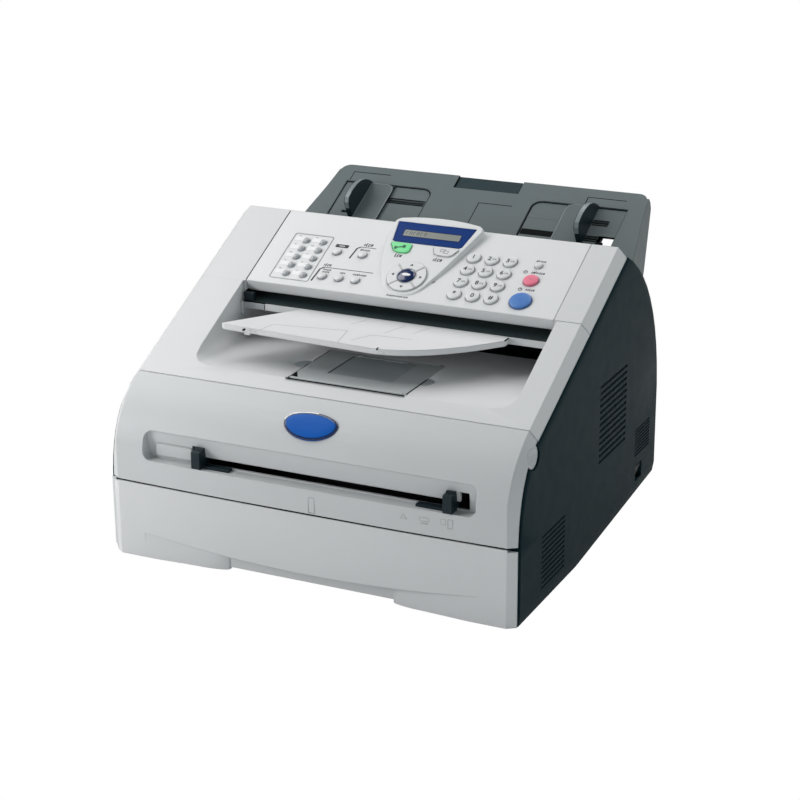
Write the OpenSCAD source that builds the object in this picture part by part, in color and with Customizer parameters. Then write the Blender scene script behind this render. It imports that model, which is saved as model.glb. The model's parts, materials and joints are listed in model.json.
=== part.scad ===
/* [Body] */
// Overall width across the side covers
body_w = 374; // [366:1:384]
// Overall depth from the front cover to the back of the document tray
body_d = 374; // [370:1:384]
// Overhang of the document tray behind the casing
tray_out = 42; // [39:1:45]
// Height of the seam between the cassette and the front cover
seam_z = 68.5; // [67:0.5:70]
// Height of the crest where the front cover meets the top cover
crest_z = 152.5; // [151:0.5:154]
// Distance of the crest behind the front face
crest_in = 45.5; // [44:0.5:47]
// Slope of the control panel and the arms, in degrees
slope = 26.8; // [26.5:0.1:27.1]
// Wall of the moulded covers
wall = 2.5; // [2.2:0.1:2.8]
// Gap at the seams between covers
seam = 0.8; // [0.6:0.1:1]
// Bulge of the front face, seen from above
front_bulge = 3; // [0:0.5:3.5]
// Width of the chamfer along the light covers
chamfer_w = 7.7; // [6:0.1:9]
// Drop of the chamfer along the arms
chamfer_drop = 8; // [7:0.5:9]
// Bulge of the side covers beyond the chamfer
side_bulge = 1.6; // [1:0.1:2]
// Length of the round on the side cover's edge
side_round = 9; // [6:1:10]
// Depth of the side covers' rims
rim_in = 12; // [11:0.5:13]
// Rise of the side covers' lower edge at the rear
tail_rise = 17; // [12:1:20]

/* [Base and chassis] */
// Height of the rubber feet
foot_h = 4; // [3.5:0.5:4.5]
// Radius of the rubber feet
foot_r = 9; // [7:1:11]
// Thickness of the base pan
pan_t = 2; // [1.5:0.5:2.5]
// Width of the bay between a side cover's face and the chassis
side_bay = 48; // [47:0.5:50]
// Thickness of the chassis walls
chassis_t = 3; // [2.5:0.5:3.5]
// Thickness of the paper deck above the cassette
deck_t = 3; // [2.5:0.5:3.5]

/* [Paper cassette] */
// Gap between the cassette tray and the chassis walls
cassette_gap = 11; // [8:0.5:14]
// Length of the cassette tray behind its front
cassette_l = 300; // [296:1:304]
// Wall of the cassette
cassette_wall = 2.4; // [2:0.2:2.8]
// Depth of the cassette's front moulding
cassette_front_d = 14; // [13.5:0.5:15]
// Height of the arch between the front feet
arch_h = 14; // [12:1:16]
// Depth of the arch's recess
arch_in = 11.5; // [8:0.5:11.5]

/* [Front cover] */
// Length of the manual feed recess
feed_w = 303; // [299:1:306]
// Lower edge of the manual feed recess
feed_z = 90.5; // [89.5:0.5:91.5]
// Height of the manual feed recess
feed_h = 25; // [23:0.5:26]
// Depth of the manual feed recess
feed_in = 9; // [8.5:0.5:10]
// Height of the manual feed slot
slot_h = 6.3; // [5.8:0.1:6.8]
// Offset of the manual feed guides to the right
feed_x = 14; // [12:0.5:16]
// Half width of the largest sheet in the manual feed slot
sheet_half = 109.8; // [108:0.2:111]
// Width of the badge
badge_w = 48; // [44:1:52]
// Height of the badge
badge_h = 24.4; // [22:0.4:26]

/* [Output well] */
// Offset of the panel, well and document tray to the right
panel_x = 9.3; // [8:0.1:10]
// Width of the output well
well_w = 294.4; // [293:0.2:295]
// Height of the output well's floor
well_z = 160; // [159:0.5:161]
// Radius of the well's front corners
well_r = 18; // [14:1:20]
// Radius between the well's floor and walls
well_fillet = 10; // [8:1:12]
// Width of the output support flap
flap_w = 107; // [104:1:110]
// Length of the output support flap
flap_l = 81; // [78:1:83]
// Thickness of the output support flap
flap_t = 1.8; // [1.6:0.1:2]
// Width of the document exit plate's straight front
exit_w = 147; // [143:1:151]

/* [Control panel] */
// Distance from the crest to the panel's front lip
lip_in = 110; // [109:0.5:111]
// Length of the panel along its slope
panel_l = 96; // [95.5:0.5:97]
// Width of the control panel
panel_w = 288.8; // [287.8:0.2:289.2]
// Height of the panel's front lip
lip_h = 11; // [10:0.5:11.5]
// Height of the display shield at its front
shield_h = 0.8; // [0.6:0.1:1.2]
// Rise of the display shield towards the rear, in degrees
shield_tilt = 3.6; // [3:0.1:4]
// Radius of the keypad keys
key_r = 5.9; // [5.6:0.1:6.2]
// Distance between the keypad's columns
key_dx = 16.8; // [16.4:0.1:17.4]
// Distance between the keypad's rows
key_dy = 15.6; // [15.2:0.1:16]
// Radius of the small function keys
small_key_r = 3.8; // [3.6:0.1:4.2]
// Height of the key caps above the panel
key_h = 1.6; // [1.3:0.1:2]
// Clearance round the key caps
key_gap = 0.35; // [0.3:0.05:0.4]
// Outer radius of the navigation ring
nav_r = 17.4; // [17:0.1:18]

/* [Document tray] */
// Distance of the document tray's top corners inside the overall width
tray_in = 33.6; // [32:0.2:36]
// Height of the document tray's top edge
tray_top_z = 267.6; // [266:0.2:269]
// Slope of the document tray, in degrees
tray_slope = 28; // [27.5:0.1:28.5]
// Thickness of the document tray
tray_t = 3; // [2.8:0.1:3.2]
// Half distance between the document guides
guide_half = 110.5; // [109:0.5:112]
// Height of the document guides
guide_h = 23; // [20:1:24]
// Thickness of the document guides
guide_t = 5; // [4:0.5:6]

/* [Print engine] */
// Radius of the heat roller
heat_r = 14; // [12:0.5:15]
// Radius of the rollers' shafts
shaft_r = 4; // [3.5:0.1:4.5]
// Running clearance of the shafts in their bores
run_gap = 0.05; // [0.03:0.01:0.08]
// Radius of the pickup roller
pickup_r = 14; // [13:0.5:15]

/* [Hidden] */
$fn = 48;
eps = 0.01;

// Widths and main stations of the casing
half_w = body_w / 2;
out_w = half_w - side_bulge;
in_w = out_w - chamfer_w;
gap = seam / 2;
front_y = -body_d / 2;
case_d = body_d - tray_out;
rear_y = front_y + case_d;
crest_y = front_y + crest_in;
lip_y = crest_y + lip_in;
hood_y = lip_y + panel_l * cos(slope);
ground_gap = 1;
pan_z = foot_h;
pan_top = pan_z + pan_t;
edge_in = 8.6;
bow_z = 82;
bow_tangent = 28;
bow_mid_z = crest_z - crest_in * tan(bow_tangent);
front_lean = 3;
seam_low = seam_z - 0.5;
seam_high = seam_z + 1;
rim_x = half_w - rim_in;
tail_y = front_y + 137;
rear_knee_z = 112;
rear_curve_z = 205;
rear_curve_in = 6;
curve_steps = 10;

function top_z(y) = crest_z + (y - crest_y) * tan(slope);
function bez(a, b, c, n = curve_steps) =
  [for (i = [0:n]) let (t = i / n) a * (1 - t) * (1 - t) + b * 2 * t * (1 - t) + c * t * t];

lip_z = top_z(lip_y);
hood_z = top_z(hood_y);
bow = bez([front_y, bow_z], [front_y, bow_mid_z], [crest_y, crest_z]);
side_bow = bez([front_y + edge_in, seam_z], [front_y + edge_in + 1, bow_mid_z],
               [crest_y + 3, top_z(crest_y + 3) - chamfer_drop]);
rear_bow = bez([hood_y + 3, hood_z - chamfer_drop], [rear_y - rear_curve_in, rear_curve_z],
               [rear_y, rear_knee_z]);
light_profile = concat([[front_y + front_lean, ground_gap]], bow,
                       [[hood_y, hood_z], [hood_y, ground_gap]]);
edge_profile = concat([[front_y + edge_in, ground_gap]], side_bow,
                      [[hood_y, hood_z - chamfer_drop], [hood_y, ground_gap]]);
dark_profile = concat([[front_y + edge_in, ground_gap]], side_bow, rear_bow,
                      [[rear_y, ground_gap + tail_rise], [tail_y, ground_gap]]);

// Extrudes a (y, z) outline along X from x0 to x1
module across(x0, x1) {
  translate([x0, 0, 0]) rotate([90, 0, 90]) linear_extrude(height = x1 - x0) children();
}

// A box between two corners
module block(low, high) {
  translate(low) cube(high - low);
}

// A cylinder along X from x0 to x1 at (y, z)
module rod(x0, x1, y, z, r) {
  translate([x0, y, z]) rotate([0, 90, 0]) cylinder(h = x1 - x0, r = r);
}

// The chamfered form of the light covers, shrunk by an inset
module envelope(inset = 0) {
  hull() {
    across(-(in_w - inset), in_w - inset) offset(delta = -inset) polygon(light_profile);
    across(-(out_w - inset), out_w - inset) offset(delta = -inset) polygon(edge_profile);
  }
}

// The bulged plan of the front face, moved back by an inset
module front_plan(inset = 0) {
  steps = 8;
  arc = [for (i = [-steps:steps]) [in_w * i / steps, front_bulge * i * i / (steps * steps)]];
  side = [out_w + 2, edge_in + 1];
  translate([0, front_y + inset, 0]) linear_extrude(height = hood_z + wall)
    polygon(concat(arc, [side, [side.x, case_d], [-side.x, case_d], [-side.x, side.y]]));
}

// The space that the side covers take out of the light covers
module side_space(grow = 0) {
  for (s = [-1, 1]) scale([s, 1, 1])
    across(rim_x - gap, half_w + 1) offset(delta = grow) polygon(dark_profile);
}

// One side cover's outer form on the right, with its upper edge rounded
module side_form(inset, x0) {
  steps = 4;
  hull() {
    across(x0, out_w - inset) offset(delta = -gap - inset) polygon(dark_profile);
    for (i = [1:steps]) let (a = 90 * i / steps)
      across(out_w - inset, out_w - inset + side_bulge * sin(a)) intersection() {
        offset(delta = -gap - inset) polygon(dark_profile);
        translate([0, -side_round * (1 - cos(a)) / cos(slope)])
          offset(delta = -gap - inset) polygon(dark_profile);
        translate([0, side_round]) offset(delta = -gap - inset) polygon(dark_profile);
      }
  }
}

// A row of horizontal louvre slots in a side cover
module louvres(y0, y1, z0, count, pitch, slot) {
  for (i = [0:count - 1])
    block([rim_x, y0, z0 + i * pitch], [half_w + 1, y1, z0 + i * pitch + slot]);
}

// ---------- base and chassis ----------

pan_half = rim_x - gap;
pan_front_y = front_y + 37;
tab_half = out_w - wall - 2;
tab_end_y = tail_y - 10;
foot_x = 140;
foot_front_y = pan_front_y + 16;
foot_rear_y = rear_y - 20;

module base_pan() {
  color("dimgray") union() {
    block([-pan_half, pan_front_y, pan_z], [pan_half, rear_y - wall - gap, pan_top]);
    block([-tab_half, pan_front_y, pan_z], [tab_half, tab_end_y, pan_top]);
  }
}

module rubber_feet() {
  color("black") for (x = [-foot_x, foot_x], y = [foot_front_y, foot_rear_y])
    translate([x, y, 0]) cylinder(h = foot_h, r = foot_r);
}

chassis_half = half_w - side_bay;
chassis_in = chassis_half - chassis_t;
deck_z = seam_z + 2.5;
deck_top = deck_z + deck_t;
paper_deck_y = front_y + 47;
chassis_rear_y = rear_y - 8;
chassis_top_z = well_z - wall - 0.3;
scanner_under_z = 178;
pickup_y = front_y + 77;
pickup_z = deck_top + pickup_r - 9;
heat_y = rear_y - 50;
heat_z = 118;
roller_gap = 0.3;
pressure_z = heat_z - 2 * heat_r - roller_gap;
laser_half = chassis_in - 24;
laser_front_y = front_y + 107;
laser_rear_y = heat_y - heat_r - 21;
laser_z = 118;
laser_top_z = 150;
laser_step = 20;
ledge_t = 3;
hinge_y = front_y + 8;
hinge_z = seam_z + 15.5;
hinge_pin_r = 1.6;
hinge_nose_r = 3;
swing_r = norm([hinge_z - seam_high, 2]) + 1;
standoff_l = 5;
board_z0 = 30;
board_z1 = 146;
board_y0 = front_y + 127;
board_y1 = rear_y - 25;
standoff_in = 8;
well_rear_y = front_y + 207;

module chassis_outline() {
  polygon([[pan_front_y + 12, pan_top], [pan_front_y + 12, deck_z],
           [hinge_y + swing_r + 6, hinge_z - hinge_nose_r], [hinge_y, hinge_z - hinge_nose_r],
           [hinge_y, hinge_z + hinge_nose_r], [hinge_y + 9, hinge_z + hinge_nose_r],
           [paper_deck_y, hinge_z + 12],
           [paper_deck_y + 12, chassis_top_z - 12], [paper_deck_y + 24, chassis_top_z],
           [well_rear_y, chassis_top_z], [chassis_rear_y, chassis_top_z - 20],
           [chassis_rear_y, pan_top]]);
}

module chassis() {
  color("darkslategray") difference() {
    union() {
      for (s = [-1, 1]) scale([s, 1, 1]) {
        across(chassis_in, chassis_half) chassis_outline();
        rod(chassis_in, chassis_half, hinge_y, hinge_z, hinge_nose_r);
        block([laser_half - 6, laser_front_y, laser_z - 0.3 - ledge_t],
              [chassis_in + eps, laser_rear_y, laser_z - 0.3]);
      }
      block([-chassis_in - eps, paper_deck_y, deck_z], [chassis_in + eps, chassis_rear_y, deck_top]);
      for (y = [board_y0 + standoff_in, board_y1 - standoff_in],
           z = [board_z0 + standoff_in, board_z1 - standoff_in])
        rod(-chassis_half - standoff_l, -chassis_half + eps, y, z, standoff_l - 1);
    }
    for (s = [-1, 1]) scale([s, 1, 1]) {
      rod(chassis_in - 1, chassis_half + 1, hinge_y, hinge_z, hinge_pin_r + run_gap);
      rod(chassis_in - 1, chassis_half + 1, pickup_y, pickup_z, shaft_r + run_gap);
      rod(chassis_in - 1, chassis_half + 1, heat_y, heat_z, shaft_r + run_gap);
      rod(chassis_in - 1, chassis_half + 1, heat_y, pressure_z, shaft_r + run_gap);
    }
    block([-pickup_half - 2, pickup_y - pickup_r - 2, deck_z - 1],
          [pickup_half + 2, pickup_y + pickup_r + 2, deck_top + 1]);
  }
}

// ---------- side covers ----------

vent_y0 = front_y + 181.3;
vent_y1 = vent_y0 + 66.6;
vent_z0 = 77.5;
vent_pitch = 5.6;
vent_slot = 2.4;
low_vent_y0 = front_y + 53.5;
low_vent_y1 = low_vent_y0 + 50.5;
low_vent_z0 = 15.5;
low_vent_pitch = 4.4;
rear_vent_y0 = rear_y - 57;
rear_vent_y1 = rear_vent_y0 + 39;
rear_vent_z0 = 51;
fine_slot = 1.6;
fine_pitch = 3;
grip_y = front_y + 35;
grip_z = 135;
grip_r = 9.5;
grip_exit = atan2(grip_y - hinge_y, hinge_z - grip_z);
grip_gap = 0.7;
switch_y = rear_y - 45;
switch_z = 34;
switch_w = 16;
switch_h = 14;
switch_x = half_w - 6.5;
switch_pin_r = 1.5;
jack_y = rear_y - 75;
jack_z = 40;
jack_l = 32;
jack_h = 14;

module side_cover_shell() {
  difference() {
    side_form(0, rim_x);
    side_form(wall, rim_x - 1);
    rod(rim_x - 1, half_w + 1, grip_y, grip_z, grip_r + grip_gap);
    translate([rim_x - 1, grip_y, grip_z]) rotate([grip_exit, 0, 0])
      translate([0, 0, -grip_r - grip_gap]) cube([rim_in + 2, 2 * grip_r, 2 * (grip_r + grip_gap)]);
    block([rim_x - 1, front_y, seam_low], [out_w + 0.3, hinge_y + swing_r, hinge_z + 4]);
  }
}

module left_side_cover() {
  color([0.16, 0.21, 0.23]) scale([-1, 1, 1]) difference() {
    side_cover_shell();
    louvres(low_vent_y0, low_vent_y1, low_vent_z0, 11, low_vent_pitch, vent_slot - 0.6);
    block([rim_x, jack_y - gap, jack_z - gap], [half_w + 1, jack_y + jack_l + gap, jack_z + jack_h + gap]);
  }
}

module right_side_cover() {
  color([0.16, 0.21, 0.23]) difference() {
    union() {
      side_cover_shell();
      for (s = [-1, 1]) let (y = switch_y + s * (switch_w / 2 + 2))
        block([switch_x - 4, y - 1.5, switch_z - 5], [half_w - wall + 0.5, y + 1.5, switch_z + 5]);
    }
    louvres(vent_y0, vent_y1, vent_z0, 13, vent_pitch, vent_slot);
    louvres(low_vent_y0, low_vent_y1, low_vent_z0, 11, low_vent_pitch, vent_slot - 0.6);
    louvres(rear_vent_y0, rear_vent_y1, rear_vent_z0, 9, fine_pitch, fine_slot);
    block([rim_x, switch_y - switch_w / 2 - gap, switch_z - switch_h / 2 - gap],
          [half_w + 1, switch_y + switch_w / 2 + gap, switch_z + switch_h / 2 + gap]);
    translate([switch_x, switch_y - switch_w, switch_z]) rotate([-90, 0, 0])
      cylinder(h = 2 * switch_w, r = switch_pin_r + run_gap);
  }
}

// A rocker with its two faces tilted about the pivot
module power_switch() {
  rock = 7;
  color("black") translate([switch_x, switch_y, switch_z]) {
    rotate([90, 0, 0]) linear_extrude(height = switch_w - seam, center = true)
      polygon([[-3, -4], [3, -5.5], [4.6, 0], [5.8, 5.5], [3, 6], [-3, 4]]);
    rotate([90, 0, 0]) cylinder(h = switch_w + rock, r = switch_pin_r, center = true);
  }
}

// ---------- top cover and output well ----------

well_front_y = crest_y + 14.5;
well_half = well_w / 2;
flap_y = well_front_y + 0.6;
flap_gap = 0.5;
flap_pin_r = 0.9;
flap_low_z = well_z - flap_t - 0.3;
flap_axis_z = well_z - flap_t / 2;
scoop_r = 14;
scoop_at = 0.49;

// The output well as a convex form, grown by a wall
module well_form(grow = 0) {
  hull() {
    for (a = [0:30:90]) let (in = well_fillet * (1 - sin(a)) - grow)
      for (s = [-1, 1]) {
        translate([panel_x + s * (well_half - in - well_r), well_front_y - well_fillet + in + well_r,
                   well_z - grow + well_fillet * (1 - cos(a))])
          cylinder(h = a == 90 ? hood_z - well_z : eps, r = well_r, $fn = 32);
        translate([panel_x + s * (well_half - in - well_r), well_rear_y - well_r + grow,
                   well_z - grow + well_fillet * (1 - cos(a))])
          cylinder(h = a == 90 ? hood_z - well_z : eps, r = well_r, $fn = 32);
      }
  }
}

// Box around the top cover, with the low part that runs under the scanner deck
module top_zone() {
  block([-half_w, crest_y + gap, crest_z - 25], [half_w, lip_y - gap, hood_z]);
  block([-half_w, lip_y - gap - eps, well_z - 10], [half_w, well_rear_y + wall, scanner_under_z - gap]);
}

module top_cover() {
  color([0.8, 0.8, 0.8]) difference() {
    union() {
      intersection() {
        union() {
          difference() {
            envelope();
            envelope(wall);
          }
          intersection() {
            envelope();
            well_form(wall);
          }
        }
        top_zone();
      }
      block([panel_x - flap_w / 2 - 10, flap_y - 4, flap_low_z - 1.8],
            [panel_x + flap_w / 2 + 10, flap_y + flap_l + 4, well_z - wall + eps]);
    }
    well_form();
    side_space();
    block([panel_x - flap_w / 2 - flap_gap, flap_y - flap_gap, flap_low_z],
          [panel_x + flap_w / 2 + flap_gap, flap_y + flap_l + flap_gap, well_z + 1]);
    for (s = [-1, 1]) {
      rod(panel_x + s * flap_w / 2 - 2.6, panel_x + s * flap_w / 2 + 2.6, flap_y + 1.5, flap_axis_z,
          flap_pin_r + run_gap);
      translate([panel_x + s * (flap_w / 2 + 1), flap_y + flap_l * scoop_at, flap_low_z + scoop_r])
        sphere(r = scoop_r);
    }
    block([panel_x - well_half + well_r, well_rear_y - 1, well_z + 1],
          [panel_x + well_half - well_r, well_rear_y + wall + 1, well_z + 12]);
  }
}

module output_flap() {
  color([0.68, 0.7, 0.7]) difference() {
    union() {
      block([panel_x - flap_w / 2, flap_y + 1.5, flap_low_z + 0.3],
            [panel_x + flap_w / 2, flap_y + flap_l, well_z]);
      rod(panel_x - flap_w / 2 - 2.2, panel_x + flap_w / 2 + 2.2, flap_y + 1.5, flap_axis_z, flap_pin_r);
    }
    block([panel_x - flap_w * 0.27, flap_y + flap_l * 0.3, well_z - 0.6],
          [panel_x + flap_w * 0.29, flap_y + flap_l * 0.92, well_z + 1]);
  }
}

// ---------- scanner deck with the rear arms ----------

panel_half = panel_w / 2;
cheek_x = panel_half + gap;
cheek_out = well_half + wall;
ear_out = well_half - gap;
deck_front_y = lip_y - 6.5;
bar_z1 = lip_z - 18;
bar_z0 = bar_z1 - 5.5;
feed_rear_y = hood_y + 6;
tray_top_y = body_d / 2 - 9.4;
tray_l = (tray_top_y - feed_rear_y - 1.5) / cos(tray_slope);
feed_rear_z = tray_top_z - (tray_top_y - feed_rear_y) * tan(tray_slope) - 1.5;
panel_axis_s = panel_l - 4.5;
panel_axis_n = -lip_h - 0.5;
panel_pin_r = 2;
boss_l = 8;
panel_axis_y = lip_y + panel_axis_s * cos(slope) - panel_axis_n * sin(slope);
panel_axis_z = lip_z + panel_axis_s * sin(slope) + panel_axis_n * cos(slope);

module scanner_deck() {
  color([0.82, 0.82, 0.82]) difference() {
    union() {
      difference() {
        envelope();
        envelope(wall);
        block([panel_x - cheek_x, front_y, 0], [panel_x + cheek_x, rear_y, body_d]);
        block([-half_w, front_y - 1, -1], [half_w, lip_y + gap, body_d]);
        block([-half_w, front_y - 1, -1], [half_w, rear_y, scanner_under_z]);
      }
      intersection() {
        envelope();
        for (s = [-1, 1])
          block([panel_x + (s < 0 ? -cheek_out : cheek_x), lip_y + gap, scanner_under_z],
                [panel_x + (s < 0 ? -cheek_x : cheek_out), hood_y, hood_z]);
      }
      across(panel_x - cheek_x - eps, panel_x + cheek_x + eps)
        polygon([[deck_front_y, bar_z0], [deck_front_y, bar_z1], [feed_rear_y, feed_rear_z],
                 [feed_rear_y, feed_rear_z - wall], [deck_front_y + wall, bar_z1 - wall],
                 [deck_front_y + wall, bar_z0]]);
      for (s = [-1, 1])
        across(panel_x + (s < 0 ? -ear_out : cheek_x), panel_x + (s < 0 ? -cheek_x : ear_out))
          polygon([[deck_front_y, scanner_under_z], [deck_front_y, bar_z1],
                   [lip_y + 2, bar_z1 + 2], [lip_y + 2, scanner_under_z]]);
    }
    side_space();
    rod(panel_x - cheek_out - 1, panel_x + cheek_out + 1, panel_axis_y, panel_axis_z, panel_pin_r + run_gap);
  }
}

// ---------- rear shell and jam door ----------

roof_z = feed_rear_z - wall - 1.5;
door_half = 112;
door_z0 = 40;
door_z1 = 108;
door_axis_y = rear_y - 3;
door_knuckle_r = 3;
door_pin_r = 1.5;
inlet_x = 156;
inlet_w = 27;
inlet_h = 20;
inlet_z = 26;
inlet_l = 14;
supply_h = 50;
rear_outline = concat([[feed_rear_y + 1, pan_z], [feed_rear_y + 1, roof_z]],
                      [for (p = rear_bow) if (p.y < roof_z) [p.x - gap, p.y]],
                      [[rear_y - gap, pan_z]]);

module rear_shell() {
  color([0.17, 0.22, 0.24]) difference() {
    union() {
      across(-pan_half, pan_half) difference() {
        polygon(rear_outline);
        offset(delta = -wall) polygon(rear_outline);
        translate([feed_rear_y, 0]) square([wall + 1.1, roof_z - wall]);
        square([rear_y - wall - gap, pan_top + wall]);
      }
      for (s = [-1, 1]) scale([s, 1, 1])
        block([door_half + gap, rear_y - wall - 4.5, door_z0 - 5], [door_half + 6, rear_y - wall, door_z0 + 5]);
    }
    block([-door_half - gap, rear_y - 8, door_z0 - door_knuckle_r - seam],
          [door_half + gap, rear_y + 1, door_z1]);
    rod(-door_half - 8, door_half + 8, door_axis_y, door_z0, door_pin_r + run_gap);
    block([inlet_x - inlet_w / 2 - gap, rear_y - 8, inlet_z - gap],
          [inlet_x + inlet_w / 2 + gap, rear_y + 1, inlet_z + inlet_h + gap]);
  }
}

module back_door() {
  color([0.2, 0.25, 0.27]) {
    block([-door_half, rear_y - gap - wall, door_z0], [door_half, rear_y - gap, door_z1 - gap]);
    rod(-door_half, door_half, door_axis_y - gap, door_z0, door_knuckle_r);
    rod(-door_half - 5, door_half + 5, door_axis_y, door_z0, door_pin_r);
  }
}

// ---------- front cover ----------

feed_half = feed_w / 2;
slot_z = feed_z + 1.2;
slot_x0 = -108;
slot_x1 = 142.4;
face_y = front_y + front_bulge;
badge_x = -2.75;
feed_brow = 6.5;
feed_round = 7;
slot_end_w = 8;
slot_end_h = 8.5;
lobe_dimple = 5;
badge_rise = 0.4;
badge_t = 2.2;
badge_seat = 1.5;
badge_step = 7;
badge_at = bow[badge_step];
badge_run = bow[badge_step + 1] - bow[badge_step - 1];
badge_tilt = atan2(badge_run.y, badge_run.x);
guide_block_w = 7.8;
guide_block_h = 15;
guide_tail = 25;

// The manual feed recess in section, grown by a wall
module feed_section(grow = 0) {
  polygon([[front_y - 1, feed_z - grow], [face_y + feed_in + grow, feed_z - grow],
           [face_y + feed_in + grow, feed_z + slot_h + 3 + grow],
           [face_y + feed_brow + grow, feed_z + feed_h + grow], [front_y - 1, feed_z + feed_h + grow]]);
}

// The manual feed recess with its rounded ends
module feed_recess() {
  r = feed_round;
  intersection() {
    across(-feed_half, feed_half) feed_section();
    translate([0, 0, feed_z]) rotate([90, 0, 0]) linear_extrude(height = body_d, center = true) {
      translate([-feed_half + r, 0]) square([feed_w - 2 * r, feed_h + 1]);
      translate([-feed_half, r]) square([feed_w, feed_h - 2 * r]);
      for (x = [-feed_half + r, feed_half - r], z = [r, feed_h - r]) translate([x, z]) circle(r = r);
    }
  }
}

// An oval outline, flatter along its top
module badge_outline(grow = 0) {
  n = 48;
  polygon([for (i = [0:n - 1]) let (a = 360 * i / n, h = badge_h * (sin(a) > 0 ? badge_rise : 1 - badge_rise))
           [(badge_w / 2 + grow) * cos(a), (h + grow) * sin(a) + badge_h * (0.5 - badge_rise)]]);
}

module on_badge() {
  translate([badge_x, badge_at.x, badge_at.y]) rotate([badge_tilt, 0, 0]) children();
}

module front_cover() {
  color([0.78, 0.79, 0.79]) difference() {
    union() {
      difference() {
        intersection() {
          union() {
            difference() {
              envelope();
              intersection() {
                envelope(wall);
                front_plan(wall);
                block([-half_w, front_y, ground_gap], [half_w, rear_y, hood_z]);
              }
            }
            across(-feed_half - wall, feed_half + wall) feed_section(wall);
            for (s = [-1, 1]) scale([s, 1, 1])
              block([chassis_in - 5, front_y + 1, hinge_z - 3], [chassis_in - gap, hinge_y + 3, feed_z - 1]);
          }
          front_plan();
          envelope();
          block([-half_w, front_y - 1, seam_high], [half_w, crest_y - gap, hood_z]);
        }
        side_space(gap);
      }
      intersection() {
        envelope();
        for (s = [-1, 1]) scale([s, 1, 1]) rod(rim_x - 3, out_w, grip_y, grip_z, grip_r);
      }
    }
    feed_recess();
    block([slot_x0, front_y, slot_z], [slot_x1, front_y + 40, slot_z + slot_h]);
    for (x = [slot_x0, slot_x1 - slot_end_w])
      block([x, front_y, slot_z], [x + slot_end_w, front_y + 40, slot_z + slot_h + slot_end_h]);
    for (s = [-1, 1]) translate([s * (out_w + lobe_dimple), grip_y, grip_z]) sphere(r = grip_r);
    on_badge() translate([0, 0, -badge_seat]) linear_extrude(height = 10) badge_outline(gap / 2);
  }
  color([0.78, 0.79, 0.79]) for (s = [-1, 1]) scale([s, 1, 1])
    rod(chassis_in - gap - eps, chassis_half, hinge_y, hinge_z, hinge_pin_r);
}

module front_badge() {
  color([0.14, 0.3, 0.7]) on_badge() translate([0, 0, -badge_seat])
    linear_extrude(height = badge_t) badge_outline();
}

// A sliding guide of the manual feed slot, on the right side
module feed_guide() {
  x0 = sheet_half;
  y0 = front_y + 1;
  y1 = face_y + feed_in - 0.3;
  top = slot_z - 1 + guide_block_h;
  catch_y = y1 + wall + 0.8;
  color([0.12, 0.16, 0.18]) {
    across(x0, x0 + guide_block_w)
      polygon([[y0, slot_z - 1], [y1, slot_z - 1], [y1, slot_z + slot_h + 1.5], [y1 - 1.4, top + 1.2],
               [y1 - 4, top + 1.2], [y1 - 4.8, top], [y0 + 1.2, top], [y0, top - 1.2]]);
    block([x0 - guide_tail, y0 + 4, slot_z - 1], [x0 + eps, y1, slot_z + 1]);
    block([x0 + 1, y1 - eps, slot_z + 0.5], [x0 + guide_block_w - 1, catch_y + 3, slot_z + slot_h - 0.5]);
    block([x0 + 0.5, catch_y, slot_z - 2], [x0 + guide_block_w - 0.5, catch_y + 3, slot_z + slot_h + 2]);
  }
}

// ---------- paper cassette ----------

cassette_half = chassis_in - cassette_gap;
cassette_y0 = front_y + cassette_front_d;
cassette_rear_y = cassette_y0 + cassette_l;
cassette_z = pan_top + 0.3;
cassette_top = seam_z - 9;
rebate_y = front_y + 3.5;
plate_half = cassette_half - 19;
plate_l = 150;
plate_t = 1.2;
plate_y = front_y + 30;
plate_z = cassette_z + cassette_wall + 1;
plate_pin_r = 1.5;
plate_axis_y = plate_y + plate_l;
plate_axis_z = plate_z + 2.2;
foot_in_x = 76;
foot_round_x = 105;
foot_out_x = 153;
foot_face_in = 2.5;
foot_step_in = 5.3;

// The recess between the front feet, seen from above
module arch_plan() {
  steps = 8;
  curve = [for (i = [0:steps]) let (a = 90 * i / steps)
           [foot_in_x + (foot_round_x - foot_in_x) * (1 - cos(a)),
            arch_in + (foot_step_in - arch_in) * sin(a)]];
  right = concat([[0, arch_in]], curve, [[foot_out_x, foot_face_in], [foot_out_x, -10], [0, -10]]);
  translate([0, front_y]) for (s = [-1, 1]) scale([s, 1]) polygon(right);
}

// The smile-shaped area below the front face's lower line
module arch_front() {
  steps = 10;
  line = [for (i = [-steps:steps]) [foot_out_x * i / steps, arch_h + 10 * pow(i / steps, 2)]];
  polygon(concat(line, [[foot_out_x, -5], [-foot_out_x, -5]]));
}

module paper_cassette() {
  color([0.74, 0.75, 0.75]) union() {
    difference() {
      intersection() {
        envelope();
        front_plan();
        block([-half_w, front_y - 1, 0], [half_w, cassette_y0, seam_low]);
      }
      side_space(gap);
      intersection() {
        linear_extrude(height = seam_z) arch_plan();
        translate([0, rear_y, 0]) rotate([90, 0, 0]) linear_extrude(height = body_d + case_d) arch_front();
      }
      block([-foot_in_x, front_y - 1, -1], [foot_in_x, cassette_y0 + 1, ground_gap + 2]);
      block([-half_w, rebate_y, seam_low - 2], [half_w, cassette_y0 + 1, seam_z]);
    }
    difference() {
      block([-cassette_half, cassette_y0 - eps, cassette_z], [cassette_half, cassette_rear_y, cassette_top]);
      block([-cassette_half + cassette_wall, cassette_y0, cassette_z + cassette_wall],
            [cassette_half - cassette_wall, cassette_rear_y - cassette_wall, seam_z]);
    }
    for (s = [-1, 1]) scale([s, 1, 1]) difference() {
      block([plate_half + 0.5, plate_axis_y - 4, cassette_z + cassette_wall - eps],
            [plate_half + 4, plate_axis_y + 4, plate_axis_z + 4]);
      rod(plate_half, plate_half + 5, plate_axis_y, plate_axis_z, plate_pin_r + run_gap);
    }
  }
}

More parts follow.
